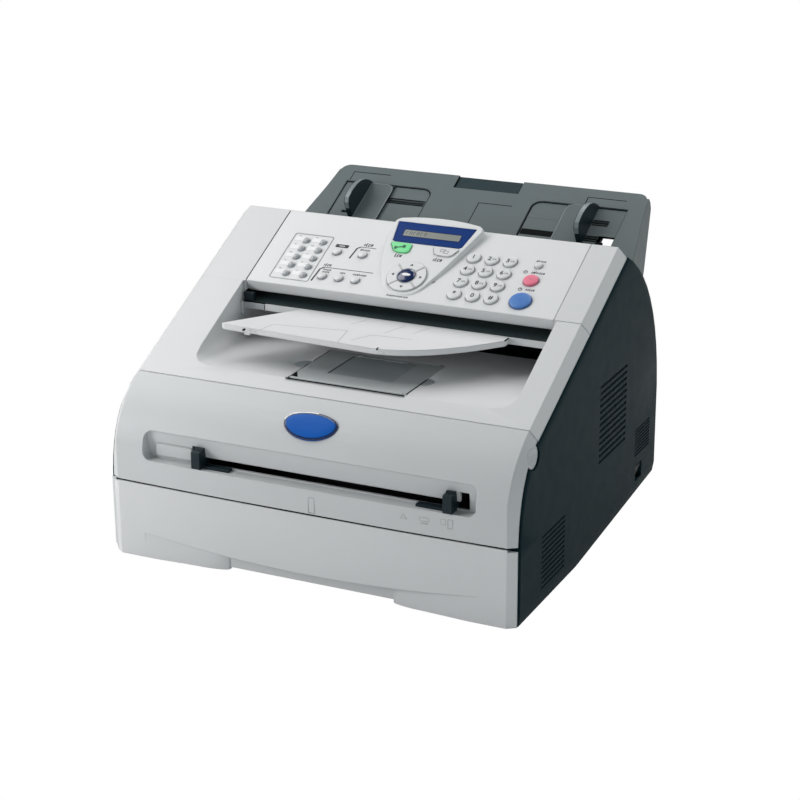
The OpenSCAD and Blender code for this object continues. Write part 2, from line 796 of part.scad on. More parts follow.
module lift_plate() {
  color("silver") {
    block([-plate_half, plate_y, plate_z], [plate_half, plate_axis_y, plate_z + plate_t]);
    rod(-plate_half - 3.8, plate_half + 3.8, plate_axis_y, plate_axis_z, plate_pin_r);
    block([-plate_half, plate_axis_y - 1.5, plate_z + eps], [plate_half, plate_axis_y + 1.5, plate_axis_z]);
  }
}

// ---------- print engine ----------

pickup_half = 26;
roller_half = chassis_in - 21;
drum_half = chassis_in - 16;
drum_rear_y = front_y + 187;
drum_mid_y = front_y + 101;
drum_front_y = front_y + 29;
drum_low_z = deck_top + 0.3;
shelf_z = pickup_z + pickup_r + 1.5;
drum_top_z = shelf_z + 17;
drum_r = 12;
drum_y = drum_mid_y + 30;
toner_top_z = 141;

// A roller on a shaft that runs through both chassis walls
module shaft_roller(y, z, r, half) {
  rod(-half, half, y, z, r);
  rod(-chassis_half, chassis_half, y, z, shaft_r);
}

module pickup_roller() {
  color("dimgray") shaft_roller(pickup_y, pickup_z, pickup_r, pickup_half);
}

module heat_roller() {
  color([0.35, 0.2, 0.15]) shaft_roller(heat_y, heat_z, heat_r, roller_half);
}

module pressure_roller() {
  color([0.7, 0.3, 0.25]) shaft_roller(heat_y, pressure_z, heat_r, roller_half);
}

module drum_unit() {
  side = [[drum_front_y, shelf_z], [drum_front_y, drum_top_z], [drum_rear_y, drum_top_z - 4],
          [drum_rear_y, drum_low_z], [drum_mid_y, drum_low_z], [drum_mid_y, shelf_z]];
  color([0.25, 0.27, 0.28]) union() {
    for (s = [-1, 1]) scale([s, 1, 1]) across(drum_half - 3, drum_half) polygon(side);
    block([-drum_half + 2, drum_front_y, shelf_z], [drum_half - 2, drum_mid_y, shelf_z + 2]);
    block([-drum_half + 2, drum_mid_y, drum_top_z - 7], [drum_half - 2, drum_rear_y, drum_top_z - 5]);
    block([-drum_half + 2, drum_rear_y - 3, drum_low_z + 12], [drum_half - 2, drum_rear_y, drum_top_z - 5]);
    rod(-drum_half + 2, drum_half - 2, drum_y, drum_low_z + drum_r + 1, drum_r);
  }
}

module toner_cartridge() {
  low_z = shelf_z + 2.3;
  nose_z = drum_top_z + 7.3;
  color([0.12, 0.12, 0.13]) across(-drum_half + 3.5, drum_half - 3.5)
    polygon([[drum_front_y + 2, low_z], [drum_front_y + 2, nose_z], [drum_front_y + laser_step, toner_top_z],
             [drum_mid_y - 4, toner_top_z], [drum_mid_y - 1, low_z]]);
}

module laser_unit() {
  color([0.2, 0.2, 0.22]) union() {
    block([-laser_half, laser_front_y, laser_z], [laser_half, laser_rear_y, laser_top_z - 6]);
    block([-laser_half + laser_step, laser_front_y + laser_step / 2, laser_top_z - 6 - eps],
          [laser_half - laser_step, laser_rear_y - laser_step, laser_top_z]);
  }
}

chip_in = 30;

module main_board() {
  x1 = -chassis_half - standoff_l - 0.2;
  t = 1.6;
  color([0.1, 0.4, 0.2]) union() {
    block([x1 - t, board_y0, board_z0], [x1, board_y1, board_z1]);
    block([x1 - t - 5, board_y0 + chip_in, board_z0 + 2 * chip_in],
          [x1 - t + eps, board_y0 + chip_in + jack_l, board_z0 + 2 * chip_in + jack_l]);
    block([-half_w + side_bulge + 0.5, jack_y, jack_z], [x1 - t + eps, jack_y + jack_l, jack_z + jack_h]);
  }
}

module power_supply() {
  color([0.6, 0.62, 0.64]) union() {
    block([chassis_half + 2, board_y0, pan_top], [pan_half - 3, rear_y - inlet_l, pan_top + supply_h]);
    block([inlet_x - inlet_w / 2, rear_y - inlet_l - eps, inlet_z],
          [inlet_x + inlet_w / 2, rear_y - 1, inlet_z + inlet_h]);
  }
}

// ---------- document tray ----------

tray_half = half_w - tray_in;
tray_flare = 8;
flare_l = 77;
tray_corner = 9;
channel_in = 50;
channel_out = 140.5;
channel_top = 22.4;
channel_low = 118;
channel_t = 1.2;
guide_x = -2.5;
guide_top = 21;
guide_l = 51;
guide_base_w = 24;
track_at = 41;
track_h = 3;
low_track_at = 62;
notch_half = 32.5;
notch_l = 17;
extension_t = 2.5;
extension_l = 56;
rail_w = 2;

module on_tray() {
  translate([panel_x, tray_top_y, tray_top_z]) rotate([tray_slope, 0, 0]) children();
}

// The tray's outline: rounded top corners and flared sides
module tray_outline() {
  low_half = tray_half + flare_l * tan(tray_flare);
  corner = [for (i = [0:6]) let (a = 90 * i / 6)
            [tray_half - tray_corner + tray_corner * sin(a), -tray_corner + tray_corner * cos(a)]];
  right = concat([[0, 0]], corner, [[low_half, -flare_l], [low_half, -tray_l], [0, -tray_l]]);
  for (s = [-1, 1]) scale([s, 1]) polygon(right);
}

// One side wall of the tray, deeper towards the casing
module tray_side() {
  wedge = [[feed_rear_y + 2, feed_rear_z + 1], [tray_top_y - 7, tray_top_z - 7 * tan(tray_slope)],
           [tray_top_y - 1, tray_top_z - 3.6], [tray_top_y + 5, tray_top_z - 8],
           [body_d / 2, tray_top_z - 15], [tray_top_y - 14, tray_top_z - 66], [rear_y + 6, roof_z - 17],
           [rear_y - 13, roof_z - 17], [rear_y - 27, roof_z + 0.3], [feed_rear_y + 2, roof_z + 0.3]];
  intersection() {
    across(0, half_w) polygon(wedge);
    translate([panel_x, tray_top_y, 0]) union() {
      translate([tray_half, 0, 0]) rotate([0, 0, tray_flare])
        translate([-wall, -flare_l * cos(tray_slope), 0]) cube([wall, case_d, tray_top_z]);
      translate([tray_half + flare_l * tan(tray_flare) - wall, -case_d, 0])
        cube([wall, case_d - flare_l * cos(tray_slope), tray_top_z]);
    }
  }
}

module document_tray() {
  color([0.42, 0.45, 0.46]) difference() {
    union() {
      on_tray() translate([0, 0, -tray_t]) linear_extrude(height = tray_t) tray_outline();
      tray_side();
      translate([2 * panel_x, 0, 0]) mirror([1, 0, 0]) tray_side();
      on_tray() for (s = [-1, 1]) scale([s, 1, 1]) {
        block([notch_half + 0.3, -extension_l - 6, -tray_t - extension_t - 1.2],
              [notch_half + 0.3 + rail_w, -4, -tray_t + eps]);
        block([notch_half - 3, -extension_l - 6, -tray_t - extension_t - 2.4],
              [notch_half + 0.3 + rail_w, -4, -tray_t - extension_t - 0.7]);
      }
    }
    on_tray() {
      block([-notch_half, -notch_l, -tray_t - 0.3], [notch_half, 1, 1]);
      for (s = [-1, 1]) scale([s, 1, 1]) {
        block([channel_in, -channel_low, -channel_t], [channel_out, -channel_top, 1]);
        block([channel_in + 2, -track_at - track_h, -tray_t - 1], [channel_out - 12, -track_at, 1]);
        block([channel_in + 2, -low_track_at - track_h, -tray_t - 1], [channel_out - 12, -low_track_at, 1]);
      }
      block([channel_out - 16, -low_track_at - 8, -tray_t - 1], [channel_out, -low_track_at + 3, 1]);
    }
  }
}

// A document guide on the right: an upright fin on a thin base with a clip below the tray
module document_guide() {
  fin = concat(bez([0, 0], [-guide_l / 4, guide_h], [-guide_l + 12, guide_h]),
               [[-guide_l + 4, guide_h - 1], [-guide_l + 1, guide_h - 5], [-guide_l, 0]]);
  base_n = -channel_t + 0.15;
  color([0.16, 0.22, 0.25]) on_tray() difference() {
    union() {
      translate([guide_half, -guide_top, base_n]) rotate([90, 0, 90])
        linear_extrude(height = guide_t) polygon(fin);
      block([guide_half - guide_base_w, -guide_top - guide_l - 18, base_n],
            [guide_half + guide_t, -guide_top - 3, base_n + 1.5]);
      block([guide_half - guide_base_w + 4, -track_at - track_h + 0.4, -tray_t - 1.6],
            [guide_half - 2, -track_at - 0.4, base_n + eps]);
      block([guide_half - guide_base_w + 3, -track_at - track_h - 1.2, -tray_t - 1.6],
            [guide_half - 1, -track_at + 1.2, -tray_t - 0.3]);
    }
    block([guide_half - 1, -tray_l, -tray_t - 4], [guide_half + guide_t + 1, 1, base_n]);
    block([guide_half - 1, -channel_top - 0.3, -tray_t], [guide_half + guide_t + 1, 1, 0.3]);
  }
}

module tray_extension() {
  color([0.1, 0.16, 0.2]) on_tray() union() {
    block([-notch_half + 0.3, -extension_l, -tray_t - extension_t - 0.4],
          [notch_half - 0.3, -1.5, -tray_t - 0.4]);
    block([-notch_half + 12, -notch_l + 2, -tray_t - 0.4 - eps], [notch_half - 12, -notch_l + 4, -tray_t + 1]);
  }
}

// ---------- document exit plate ----------

exit_t = 5;
exit_drop = 0.8;
exit_x0 = -122;
exit_rear_x0 = -78;
exit_rear_x1 = 117;
exit_l0 = 61;
exit_l1 = 69;

module exit_plate() {
  front_x = exit_x0 + exit_w;
  tip = bez([front_x, -exit_l1], [front_x + 46, -exit_l1 + 2], [exit_rear_x1, -8], 8);
  outline = concat([[exit_rear_x0, 0], [exit_x0 + 3, -exit_l0 + 6], [exit_x0, -exit_l0 + 2],
                    [exit_x0 + 3, -exit_l0]], tip, [[exit_rear_x1, 0]]);
  color([0.85, 0.85, 0.85]) translate([0, deck_front_y - 0.3, bar_z1]) rotate([exit_drop, 0, 0])
    translate([0, 0, -exit_t]) linear_extrude(height = exit_t) polygon(outline);
}

// ---------- control panel ----------

plate_n = -wall;
key_flange = 1;
flange_t = 1;
keypad_x = 49.5;
keypad_s = 61.4;
nav_x = 0.6;
nav_s = 27;
shield_s = 8;
nav_rim = 4;
nav_in_r = 8.2;
set_r = 7.8;
nav_split = 1.2;
start_r = 9.4;
stop_r = 6.5;
reports_r = 3.3;
side_key_x = 109;
start_s = 16.6;
stop_s = 42.3;
reports_s = 61.4;
top_row_s = 48.4;
low_row_s = 16.2;
touch_x0 = -111.3;
touch_dx = 16.7;
touch_s0 = 14.6;
touch_ds = 10.9;
touch_r = 3;
window_t = 1.2;
mode_cap = 1.2;
mode_s = 60;
mode_r = 8;
nav_cap = 1.4;
set_cap = 1.8;
small_keys = [[-76.5, top_row_s], [-51.5, top_row_s], [-76.8, low_row_s], [-60.5, low_row_s],
              [-44.5, low_row_s]];
keypad = [for (row = [0:3], col = [0:2]) [keypad_x + col * key_dx, keypad_s - row * key_dy]];
fax_outline = [[-29.3, 64.2], [-27.3, 65], [-11, 65], [-9.2, 63.4], [-9, 56], [-11.2, 53.8], [-19.5, 53.8],
               [-24, 55.8]];
copy_outline = [[11.6, 64], [14, 65], [33.6, 65], [34.8, 63.6], [31.6, 57.4], [28.6, 55.4], [18, 55.4],
                [15, 57]];
window_outline = [[-32.8, 91.2], [41.7, 91.2], [36.2, 68], [33.8, 66.6], [-27.2, 66.6], [-29.6, 68]];
shield_outline = [[-35.6, 66], [-30, 42], [30.5, 42], [39, 66], [47.4, 89], [46.6, 93], [43, 95.5], [30, 97.9],
                  [17, 99.1], [5, 99.5], [-7, 99.1], [-20, 97.9], [-32, 95.5], [-35.4, 93], [-36.4, 89]];

// Places children on the panel's surface at x and at s along its slope
module on_panel(x = 0, s = 0) {
  translate([panel_x, lip_y, lip_z]) rotate([slope, 0, 0]) translate([x, s, 0]) children();
}

// Height of the shield's surface above the panel at s
function shield_top(s) = shield_h + (s - shield_s) * tan(shield_tilt);

// Places children on the shield's tilted surface
module on_shield(x = 0, s = 0) {
  on_panel() translate([0, shield_s, shield_h]) rotate([shield_tilt, 0, 0]) translate([x, s - shield_s, 0])
    children();
}

module shield_plan() {
  hull() {
    translate([nav_x, nav_s]) circle(r = nav_r + nav_rim, $fn = 40);
    polygon(shield_outline);
  }
}

// The display shield, wider at its foot
module shield() {
  hull() {
    on_panel() translate([0, 0, -eps]) linear_extrude(height = eps) offset(delta = 1) shield_plan();
    on_shield() translate([0, 0, -eps]) linear_extrude(height = eps) shield_plan();
  }
}

// Depth from the shield's surface to a key's flange below the panel
function stem(s, r) = shield_top(s) + wall + (r + key_flange) * tan(shield_tilt) + 0.1;

module key_hole(p, r) {
  on_panel(p.x, p.y) translate([0, 0, -wall - 1]) cylinder(h = wall + 2, r = r + key_gap);
}

// A mode key's outline grown by the key clearance
module mode_hole(outline) {
  on_shield() translate([0, 0, -wall - 10]) linear_extrude(height = wall + 12)
    offset(delta = key_gap) polygon(outline);
}

module control_panel() {
  color([0.86, 0.86, 0.86]) difference() {
    union() {
      shield();
      on_panel() {
        block([-panel_half, 0, -wall], [panel_half, panel_l, 0]);
        block([-panel_half, 0, -lip_h], [panel_half, wall, -wall + eps]);
        block([-panel_half, panel_l - wall, -lip_h - 2], [panel_half, panel_l, -wall + eps]);
        for (s = [-1, 1]) scale([s, 1, 1]) {
          block([panel_half - wall, 0, -lip_h], [panel_half, panel_l, -wall + eps]);
          rod(panel_half - boss_l, panel_half, panel_axis_s, panel_axis_n, panel_pin_r + 1.8);
          rod(panel_half - boss_l, cheek_out - 1, panel_axis_s, panel_axis_n, panel_pin_r);
        }
      }
    }
    for (p = keypad) key_hole(p, key_r);
    for (p = small_keys) key_hole(p, small_key_r);
    for (row = [0:4], col = [0:1])
      key_hole([touch_x0 + col * touch_dx, touch_s0 + row * touch_ds], touch_r);
    key_hole([side_key_x, start_s], start_r);
    key_hole([side_key_x, stop_s], stop_r);
    key_hole([side_key_x, reports_s], reports_r);
    on_shield(nav_x, nav_s) translate([0, 0, -stem(nav_s, nav_r)])
      cylinder(h = stem(nav_s, nav_r) + 2, r = nav_r + key_gap);
    mode_hole(fax_outline);
    mode_hole(copy_outline);
    on_shield() translate([0, 0, -window_t]) linear_extrude(height = 3)
      offset(delta = 0.1) polygon(window_outline);
  }
}

module display_window() {
  color([0.1, 0.22, 0.5]) on_shield() translate([0, 0, -window_t])
    linear_extrude(height = window_t + 0.2) polygon(window_outline);
}

// A round key with a flange that stops it under the panel plate
module round_key(p, r, h = key_h) {
  on_panel(p.x, p.y) {
    translate([0, 0, plate_n - flange_t - 0.1]) cylinder(h = wall + flange_t + h + 0.1, r = r);
    translate([0, 0, plate_n - flange_t - 0.1]) cylinder(h = flange_t, r = r + key_flange);
  }
}

module keypad_key(i) {
  color([0.82, 0.83, 0.84]) round_key(keypad[i], key_r);
}

module small_key(i) {
  color([0.75, 0.76, 0.77]) round_key(small_keys[i], small_key_r);
}

// The ten one-touch keys on their common rubber sheet
module one_touch_keys() {
  color([0.75, 0.76, 0.77]) {
    for (row = [0:4], col = [0:1])
      round_key([touch_x0 + col * touch_dx, touch_s0 + row * touch_ds], touch_r, key_h - 0.6);
    on_panel(touch_x0, touch_s0) translate([-touch_r - 1.5, -touch_r - 1.5, plate_n - flange_t - 0.1])
      cube([touch_dx + 2 * touch_r + 3, 4 * touch_ds + 2 * touch_r + 3, flange_t]);
  }
}

// One of the four sectors of the navigation ring, i quarter turns clockwise from the top
module nav_key(i) {
  low = -stem(nav_s, nav_r) - flange_t;
  color([0.78, 0.79, 0.8]) on_shield(nav_x, nav_s) rotate([0, 0, -90 * i]) intersection() {
    difference() {
      union() {
        translate([0, 0, low]) cylinder(h = nav_cap - low, r = nav_r);
        translate([0, 0, low]) cylinder(h = flange_t, r = nav_r + key_flange);
      }
      translate([0, 0, low - 1]) cylinder(h = nav_cap - low + 2, r = nav_in_r);
    }
    translate([0, nav_split / sqrt(2), low - 1]) linear_extrude(height = nav_cap - low + 2)
      polygon([[0, 0], [nav_r + 8, nav_r + 8], [-nav_r - 8, nav_r + 8]]);
  }
}

module set_key() {
  low = -stem(nav_s, nav_r) - flange_t;
  color([0.1, 0.16, 0.4]) on_shield(nav_x, nav_s) translate([0, 0, low]) cylinder(h = set_cap - low, r = set_r);
}

// A mode key set in the shield
module mode_key(outline) {
  low = -stem(mode_s, mode_r) - flange_t;
  on_shield() translate([0, 0, low]) {
    linear_extrude(height = mode_cap - low) polygon(outline);
    linear_extrude(height = flange_t) offset(delta = key_flange) polygon(outline);
  }
}

base_pan();
rubber_feet();
chassis();
left_side_cover();
right_side_cover();
top_cover();
scanner_deck();
rear_shell();
back_door();
front_cover();
front_badge();
translate([feed_x, 0, 0]) mirror([1, 0, 0]) feed_guide();  // feed_guide_left
translate([feed_x, 0, 0]) feed_guide();  // feed_guide_right
paper_cassette();
lift_plate();
pickup_roller();
drum_unit();
toner_cartridge();
laser_unit();
heat_roller();
pressure_roller();
main_board();
power_supply();
power_switch();
document_tray();
translate([2 * panel_x + guide_x, 0, 0]) mirror([1, 0, 0]) document_guide();  // document_guide_left
translate([guide_x, 0, 0]) document_guide();  // document_guide_right
tray_extension();
exit_plate();
output_flap();
control_panel();
display_window();
one_touch_keys();
small_key(0);  // shift_key
small_key(1);  // options_key
small_key(2);  // redial_key
small_key(3);  // hook_key
small_key(4);  // resolution_key
color([0.78, 0.79, 0.8]) round_key([side_key_x, reports_s], reports_r);  // reports_key
color([0.88, 0.45, 0.55]) round_key([side_key_x, stop_s], stop_r);  // stop_key
color([0.3, 0.45, 0.75]) round_key([side_key_x, start_s], start_r);  // start_key
color([0.5, 0.9, 0.6]) mode_key(fax_outline);  // fax_key
color([0.8, 0.8, 0.8]) mode_key(copy_outline);  // copy_key
set_key();
nav_key(0);  // nav_key_up
nav_key(1);  // nav_key_right
nav_key(2);  // nav_key_down
nav_key(3);  // nav_key_left
keypad_key(0);  // key_1
keypad_key(1);  // key_2
keypad_key(2);  // key_3
keypad_key(3);  // key_4
keypad_key(4);  // key_5
keypad_key(5);  // key_6
keypad_key(6);  // key_7
keypad_key(7);  // key_8
keypad_key(8);  // key_9
keypad_key(9);  // key_star
keypad_key(10);  // key_0
keypad_key(11);  // key_hash
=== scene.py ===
import json
import math

import bmesh
import bpy
from mathutils import Matrix, Vector


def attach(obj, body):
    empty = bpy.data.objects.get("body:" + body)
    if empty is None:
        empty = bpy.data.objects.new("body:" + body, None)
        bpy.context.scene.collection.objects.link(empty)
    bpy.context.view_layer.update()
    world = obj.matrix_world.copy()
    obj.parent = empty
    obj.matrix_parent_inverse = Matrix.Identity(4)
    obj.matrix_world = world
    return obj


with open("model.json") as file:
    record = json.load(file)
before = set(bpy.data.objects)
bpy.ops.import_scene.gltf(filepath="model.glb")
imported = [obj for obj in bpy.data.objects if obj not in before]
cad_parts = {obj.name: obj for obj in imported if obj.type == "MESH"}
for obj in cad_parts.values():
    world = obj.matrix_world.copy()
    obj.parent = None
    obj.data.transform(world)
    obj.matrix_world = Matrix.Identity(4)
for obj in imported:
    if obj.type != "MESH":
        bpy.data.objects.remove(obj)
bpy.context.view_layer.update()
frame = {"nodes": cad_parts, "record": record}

# A desktop fax machine. Every detail piece rides on the body it belongs to, so one script is right at every pose.

MM = 0.001
NODES = frame["nodes"]


# ---------- places, in millimetres as in the source ----------

PANEL_X = 9.3
SLOPE = math.radians(26.8)
FRONT_Y = -187.0
CREST_Y, CREST_Z = -141.5, 152.5
LIP_Y = CREST_Y + 110
LIP_Z = CREST_Z + 110 * math.tan(SLOPE)
TRAY_SLOPE = math.radians(28)
TRAY_TOP_Y, TRAY_TOP_Z = 177.6, 267.6
DECK_FRONT_Y, BAR_Z1 = LIP_Y - 6.5, LIP_Z - 18
WELL_Z = 160.0
QUARTER_TURN = math.pi / 2


def placed(x, y, z, tilt=0.0):
    return Matrix.Translation((x * MM, y * MM, z * MM)) @ Matrix.Rotation(tilt, 4, "X")


ON_PANEL = placed(PANEL_X, LIP_Y, LIP_Z, SLOPE)
ON_SHIELD = ON_PANEL @ placed(0, 8, 0.8, math.radians(3.6)) @ placed(0, -8, 0)
ON_TRAY = placed(PANEL_X, TRAY_TOP_Y, TRAY_TOP_Z, TRAY_SLOPE)
ON_WELL = placed(0, 0, WELL_Z)


# ---------- materials ----------


def ramp_range(nt, value, low, high):
    n = nt.nodes.new("ShaderNodeMapRange")
    n.inputs["To Min"].default_value = low
    n.inputs["To Max"].default_value = high
    nt.links.new(value, n.inputs["Value"])
    return n.outputs["Result"]


def noise_node(nt, coord, scale, detail=2.0):
    n = nt.nodes.new("ShaderNodeTexNoise")
    n.inputs["Scale"].default_value = scale
    n.inputs["Detail"].default_value = detail
    nt.links.new(coord, n.inputs["Vector"])
    return n.outputs["Fac"]


def material(name, rgb, rough=0.45, spec=0.5, metal=0.0, coat=0.0, grain=1500.0, relief=0.15,
             blotch=0.025, rough_var=0.06, edge=0.0006):
    """Moulded or painted surface: colour drift, uneven gloss, fine moulded grain and soft edges."""
    m = bpy.data.materials.new(name)
    m.use_nodes = True
    nt = m.node_tree
    b = nt.nodes["Principled BSDF"]
    coord = nt.nodes.new("ShaderNodeTexCoord").outputs["Object"]
    drift = noise_node(nt, coord, 11.0, 3.0)
    mix = nt.nodes.new("ShaderNodeMix")
    mix.data_type = "RGBA"
    mix.inputs["A"].default_value = [c * (1 - blotch) for c in rgb] + [1]
    mix.inputs["B"].default_value = [min(1.0, c * (1 + blotch)) for c in rgb] + [1]
    nt.links.new(drift, mix.inputs["Factor"])
    nt.links.new(mix.outputs["Result"], b.inputs["Base Color"])
    nt.links.new(ramp_range(nt, noise_node(nt, coord, 70.0, 4.0), rough - rough_var, rough + rough_var),
                 b.inputs["Roughness"])
    b.inputs["Metallic"].default_value = metal
    b.inputs["Specular IOR Level"].default_value = spec
    b.inputs["Coat Weight"].default_value = coat
    b.inputs["Coat Roughness"].default_value = 0.08
    bump = nt.nodes.new("ShaderNodeBump")
    bump.inputs["Strength"].default_value = relief
    bump.inputs["Distance"].default_value = 0.0002
    nt.links.new(noise_node(nt, coord, grain, 2.0), bump.inputs["Height"])
    if edge > 0:
        soft = nt.nodes.new("ShaderNodeBevel")
        soft.samples = 4
        soft.inputs["Radius"].default_value = edge
        nt.links.new(soft.outputs["Normal"], bump.inputs["Normal"])
    nt.links.new(bump.outputs["Normal"], b.inputs["Normal"])
    return m


def brushed(name, rgb, rough=0.35):
    """Metal with fine lines along x."""
    m = material(name, rgb, rough=rough, metal=1.0, relief=0.05, edge=0.0004)
    nt = m.node_tree
    b = nt.nodes["Principled BSDF"]
    coord = nt.nodes.new("ShaderNodeTexCoord").outputs["Object"]
    scale = nt.nodes.new("ShaderNodeVectorMath")
    scale.operation = "MULTIPLY"
    scale.inputs[1].default_value = (0.02, 1.0, 1.0)
    nt.links.new(coord, scale.inputs[0])
    lines = noise_node(nt, scale.outputs["Vector"], 900.0, 2.0)
    nt.links.new(ramp_range(nt, lines, rough - 0.1, rough + 0.12), b.inputs["Roughness"])
    return m


MAT = {
    "light_shell": material("light_shell", (0.63, 0.64, 0.65), rough=0.46, spec=0.35, edge=0.0011),
    # cover_shaded_grey: a darker copy of the light shell for the front cover and its pad, painted shade on the front
    "cover_shaded_grey": material("cover_shaded_grey", (0.555, 0.57, 0.58), rough=0.46, spec=0.35, edge=0.0011),
    "exit_light": material("exit_light", (0.70, 0.705, 0.715), rough=0.40, edge=0.0016),
    "panel_shell": material("panel_shell", (0.70, 0.71, 0.72), rough=0.42, spec=0.35, edge=0.0022),
    "dark_shell": material("dark_shell", (0.0040, 0.0180, 0.0235), rough=0.50, spec=0.06, relief=0.25, blotch=0.06,
                           edge=0.0009),
    "tray_grey": material("tray_grey", (0.110, 0.136, 0.141), rough=0.48, spec=0.3, relief=0.25, edge=0.0010),
    "guide_dark": material("guide_dark", (0.011, 0.022, 0.029), rough=0.38, spec=0.2, edge=0.0010),
    "frame_plastic": material("frame_plastic", (0.030, 0.034, 0.038), rough=0.55, spec=0.3),
    "foot_rubber": material("foot_rubber", (0.015, 0.015, 0.016), rough=0.8, spec=0.3, relief=0.4),
    "plate_steel": brushed("plate_steel", (0.55, 0.56, 0.57)),
    "heat_roller_metal": material("heat_roller_metal", (0.16, 0.07, 0.045), rough=0.25, coat=0.4),
    "press_rubber": material("press_rubber", (0.36, 0.09, 0.07), rough=0.6),
    "pickup_rubber": material("pickup_rubber", (0.05, 0.05, 0.055), rough=0.75, grain=900, relief=0.5),
    "engine_plastic": material("engine_plastic", (0.014, 0.014, 0.016), rough=0.5, spec=0.3),
    "board_green": material("board_green", (0.010, 0.085, 0.035), rough=0.3, coat=0.3, blotch=0.12),
    "badge_blue": material("badge_blue", (0.010, 0.100, 0.42), rough=0.30, spec=0.10, relief=0.02,
                           blotch=0.10),
    "window_blue": material("window_blue", (0.006, 0.036, 0.180), rough=0.30, spec=0.10, relief=0.02,
                            blotch=0.10, edge=0.0004),
    "flap_grey": material("flap_grey", (0.42, 0.445, 0.455), rough=0.42, spec=0.3),
    "key_grey": material("key_grey", (0.68, 0.69, 0.70), rough=0.34, coat=0.05, relief=0.05, edge=0.0012),
    "small_key_grey": material("small_key_grey", (0.40, 0.42, 0.44), rough=0.28, coat=0.2, relief=0.05, edge=0.0010),
    "start_blue": material("start_blue", (0.080, 0.205, 0.52), rough=0.40, spec=0.3, relief=0.05,
                           edge=0.0012),
    "stop_pink": material("stop_pink", (0.80, 0.20, 0.29), rough=0.40, spec=0.3, relief=0.05, edge=0.0012),
    "fax_green": material("fax_green", (0.17, 0.72, 0.29), rough=0.30, coat=0.2, relief=0.05, edge=0.0008),
    "set_navy": material("set_navy", (0.008, 0.020, 0.085), rough=0.18, coat=0.5, relief=0.03, edge=0.0010),
}
INK = material("print_dark", (0.030, 0.032, 0.038), rough=0.5, relief=0.0, edge=0)
# print_grey_and_gap_shade colours printed marks and also paints the shade in the gaps round the keys
INK_GREY_AND_GAP_SHADE = material("print_grey_and_gap_shade", (0.24, 0.25, 0.27), rough=0.5, relief=0.0, edge=0)
INK_PALE = material("print_pale", (0.80, 0.81, 0.82), rough=0.45, relief=0.0, edge=0)
PRINT_BLUE = material("print_blue", (0.05, 0.12, 0.42), rough=0.4, relief=0.0, edge=0)
PRINT_GREEN = material("print_green", (0.02, 0.13, 0.06), rough=0.4, relief=0.0, edge=0)
LCD = material("lcd_glass", (0.25, 0.265, 0.245), rough=0.16, coat=0.3, grain=2600, relief=0.02, blotch=0.06, edge=0)
LCD_INK = material("lcd_ink", (0.075, 0.085, 0.075), rough=0.2, coat=0.3, relief=0.0, edge=0)
# glint_and_pin_grey paints the badge's glint and colours the metal pins
GLINT_AND_PIN_GREY = material("glint_and_pin_grey", (0.66, 0.68, 0.71), rough=0.25, metal=0.5, relief=0.0, edge=0)
RIM_NAVY = material("rim_navy", (0.006, 0.018, 0.075), rough=0.2, coat=0.4, relief=0.02, edge=0)
SHADE = material("deep_shade", (0.0030, 0.0046, 0.0050), rough=0.8, spec=0.08, relief=0.1, edge=0)
# paddle_rim_highlight: a lighter grey that paints the highlight on the guides' paddle rims
PADDLE_RIM_HIGHLIGHT = material("paddle_rim_highlight", (0.205, 0.235, 0.245), rough=0.38, edge=0.0004)
EXTENSION = material("extension_dark", (0.016, 0.034, 0.040), rough=0.45, spec=0.2, edge=0)
# fin_rim_highlight: a lighter grey that paints the highlight along the guides' fin rims
FIN_RIM_HIGHLIGHT = material("fin_rim_highlight", (0.20, 0.235, 0.245), rough=0.34, edge=0.0006)
# flap_panel colours the flap's sunk panel and paints the shade in the finger scoops
FLAP_PANEL_AND_SCOOP_SHADE = material("flap_panel", (0.33, 0.365, 0.38), rough=0.42, spec=0.3, edge=0)
WIRE = brushed("flap_wire", (0.30, 0.31, 0.32), rough=0.3)
LIGHT_FLAT = material("light_flat", (0.63, 0.64, 0.65), rough=0.46, spec=0.35, relief=0.0, edge=0)
# moulded_mark_shade: a grey darker than the shell that paints the shade along moulded lines and icons
MOULDING_SHADE = material("moulded_mark_shade", (0.455, 0.46, 0.47), rough=0.42, relief=0.1, edge=0.0004)
# louvre_lip_highlight: a lighter grey that paints the highlight on the louvres' lips
LOUVRE_LIP_HIGHLIGHT = material("louvre_lip_highlight", (0.060, 0.085, 0.095), rough=0.42, spec=0.4, relief=0.2, edge=0)

slot_of = {s["node"]: s["material_slot"] for s in frame["record"]["subparts"]}


def smooth_by_angle():
    """Joins split corners, shades smooth and keeps the edges above 30 degrees sharp."""
    g = bpy.data.node_groups.new("smooth_by_angle", "GeometryNodeTree")
    g.interface.new_socket("Geometry", in_out="INPUT", socket_type="NodeSocketGeometry")
    g.interface.new_socket("Geometry", in_out="OUTPUT", socket_type="NodeSocketGeometry")
    add = g.nodes.new
    first, last = add("NodeGroupInput"), add("NodeGroupOutput")
    merge = add("GeometryNodeMergeByDistance")
    merge.inputs["Distance"].default_value = 2e-6
    faces = add("GeometryNodeSetShadeSmooth")
    faces.domain = "FACE"
    edges = add("GeometryNodeSetShadeSmooth")
    edges.domain = "EDGE"
    angle = add("GeometryNodeInputMeshEdgeAngle")
    above = add("FunctionNodeCompare")
    above.data_type = "FLOAT"
    above.operation = "GREATER_THAN"
    above.inputs["B"].default_value = math.radians(30)
    edges.inputs["Shade Smooth"].default_value = False
    g.links.new(first.outputs[0], merge.inputs["Geometry"])
    g.links.new(merge.outputs["Geometry"], faces.inputs["Geometry"])
    g.links.new(faces.outputs["Geometry"], edges.inputs["Geometry"])
    g.links.new(angle.outputs["Unsigned Angle"], above.inputs["A"])
    g.links.new(above.outputs["Result"], edges.inputs["Selection"])
    g.links.new(edges.outputs["Geometry"], last.inputs[0])
    return g


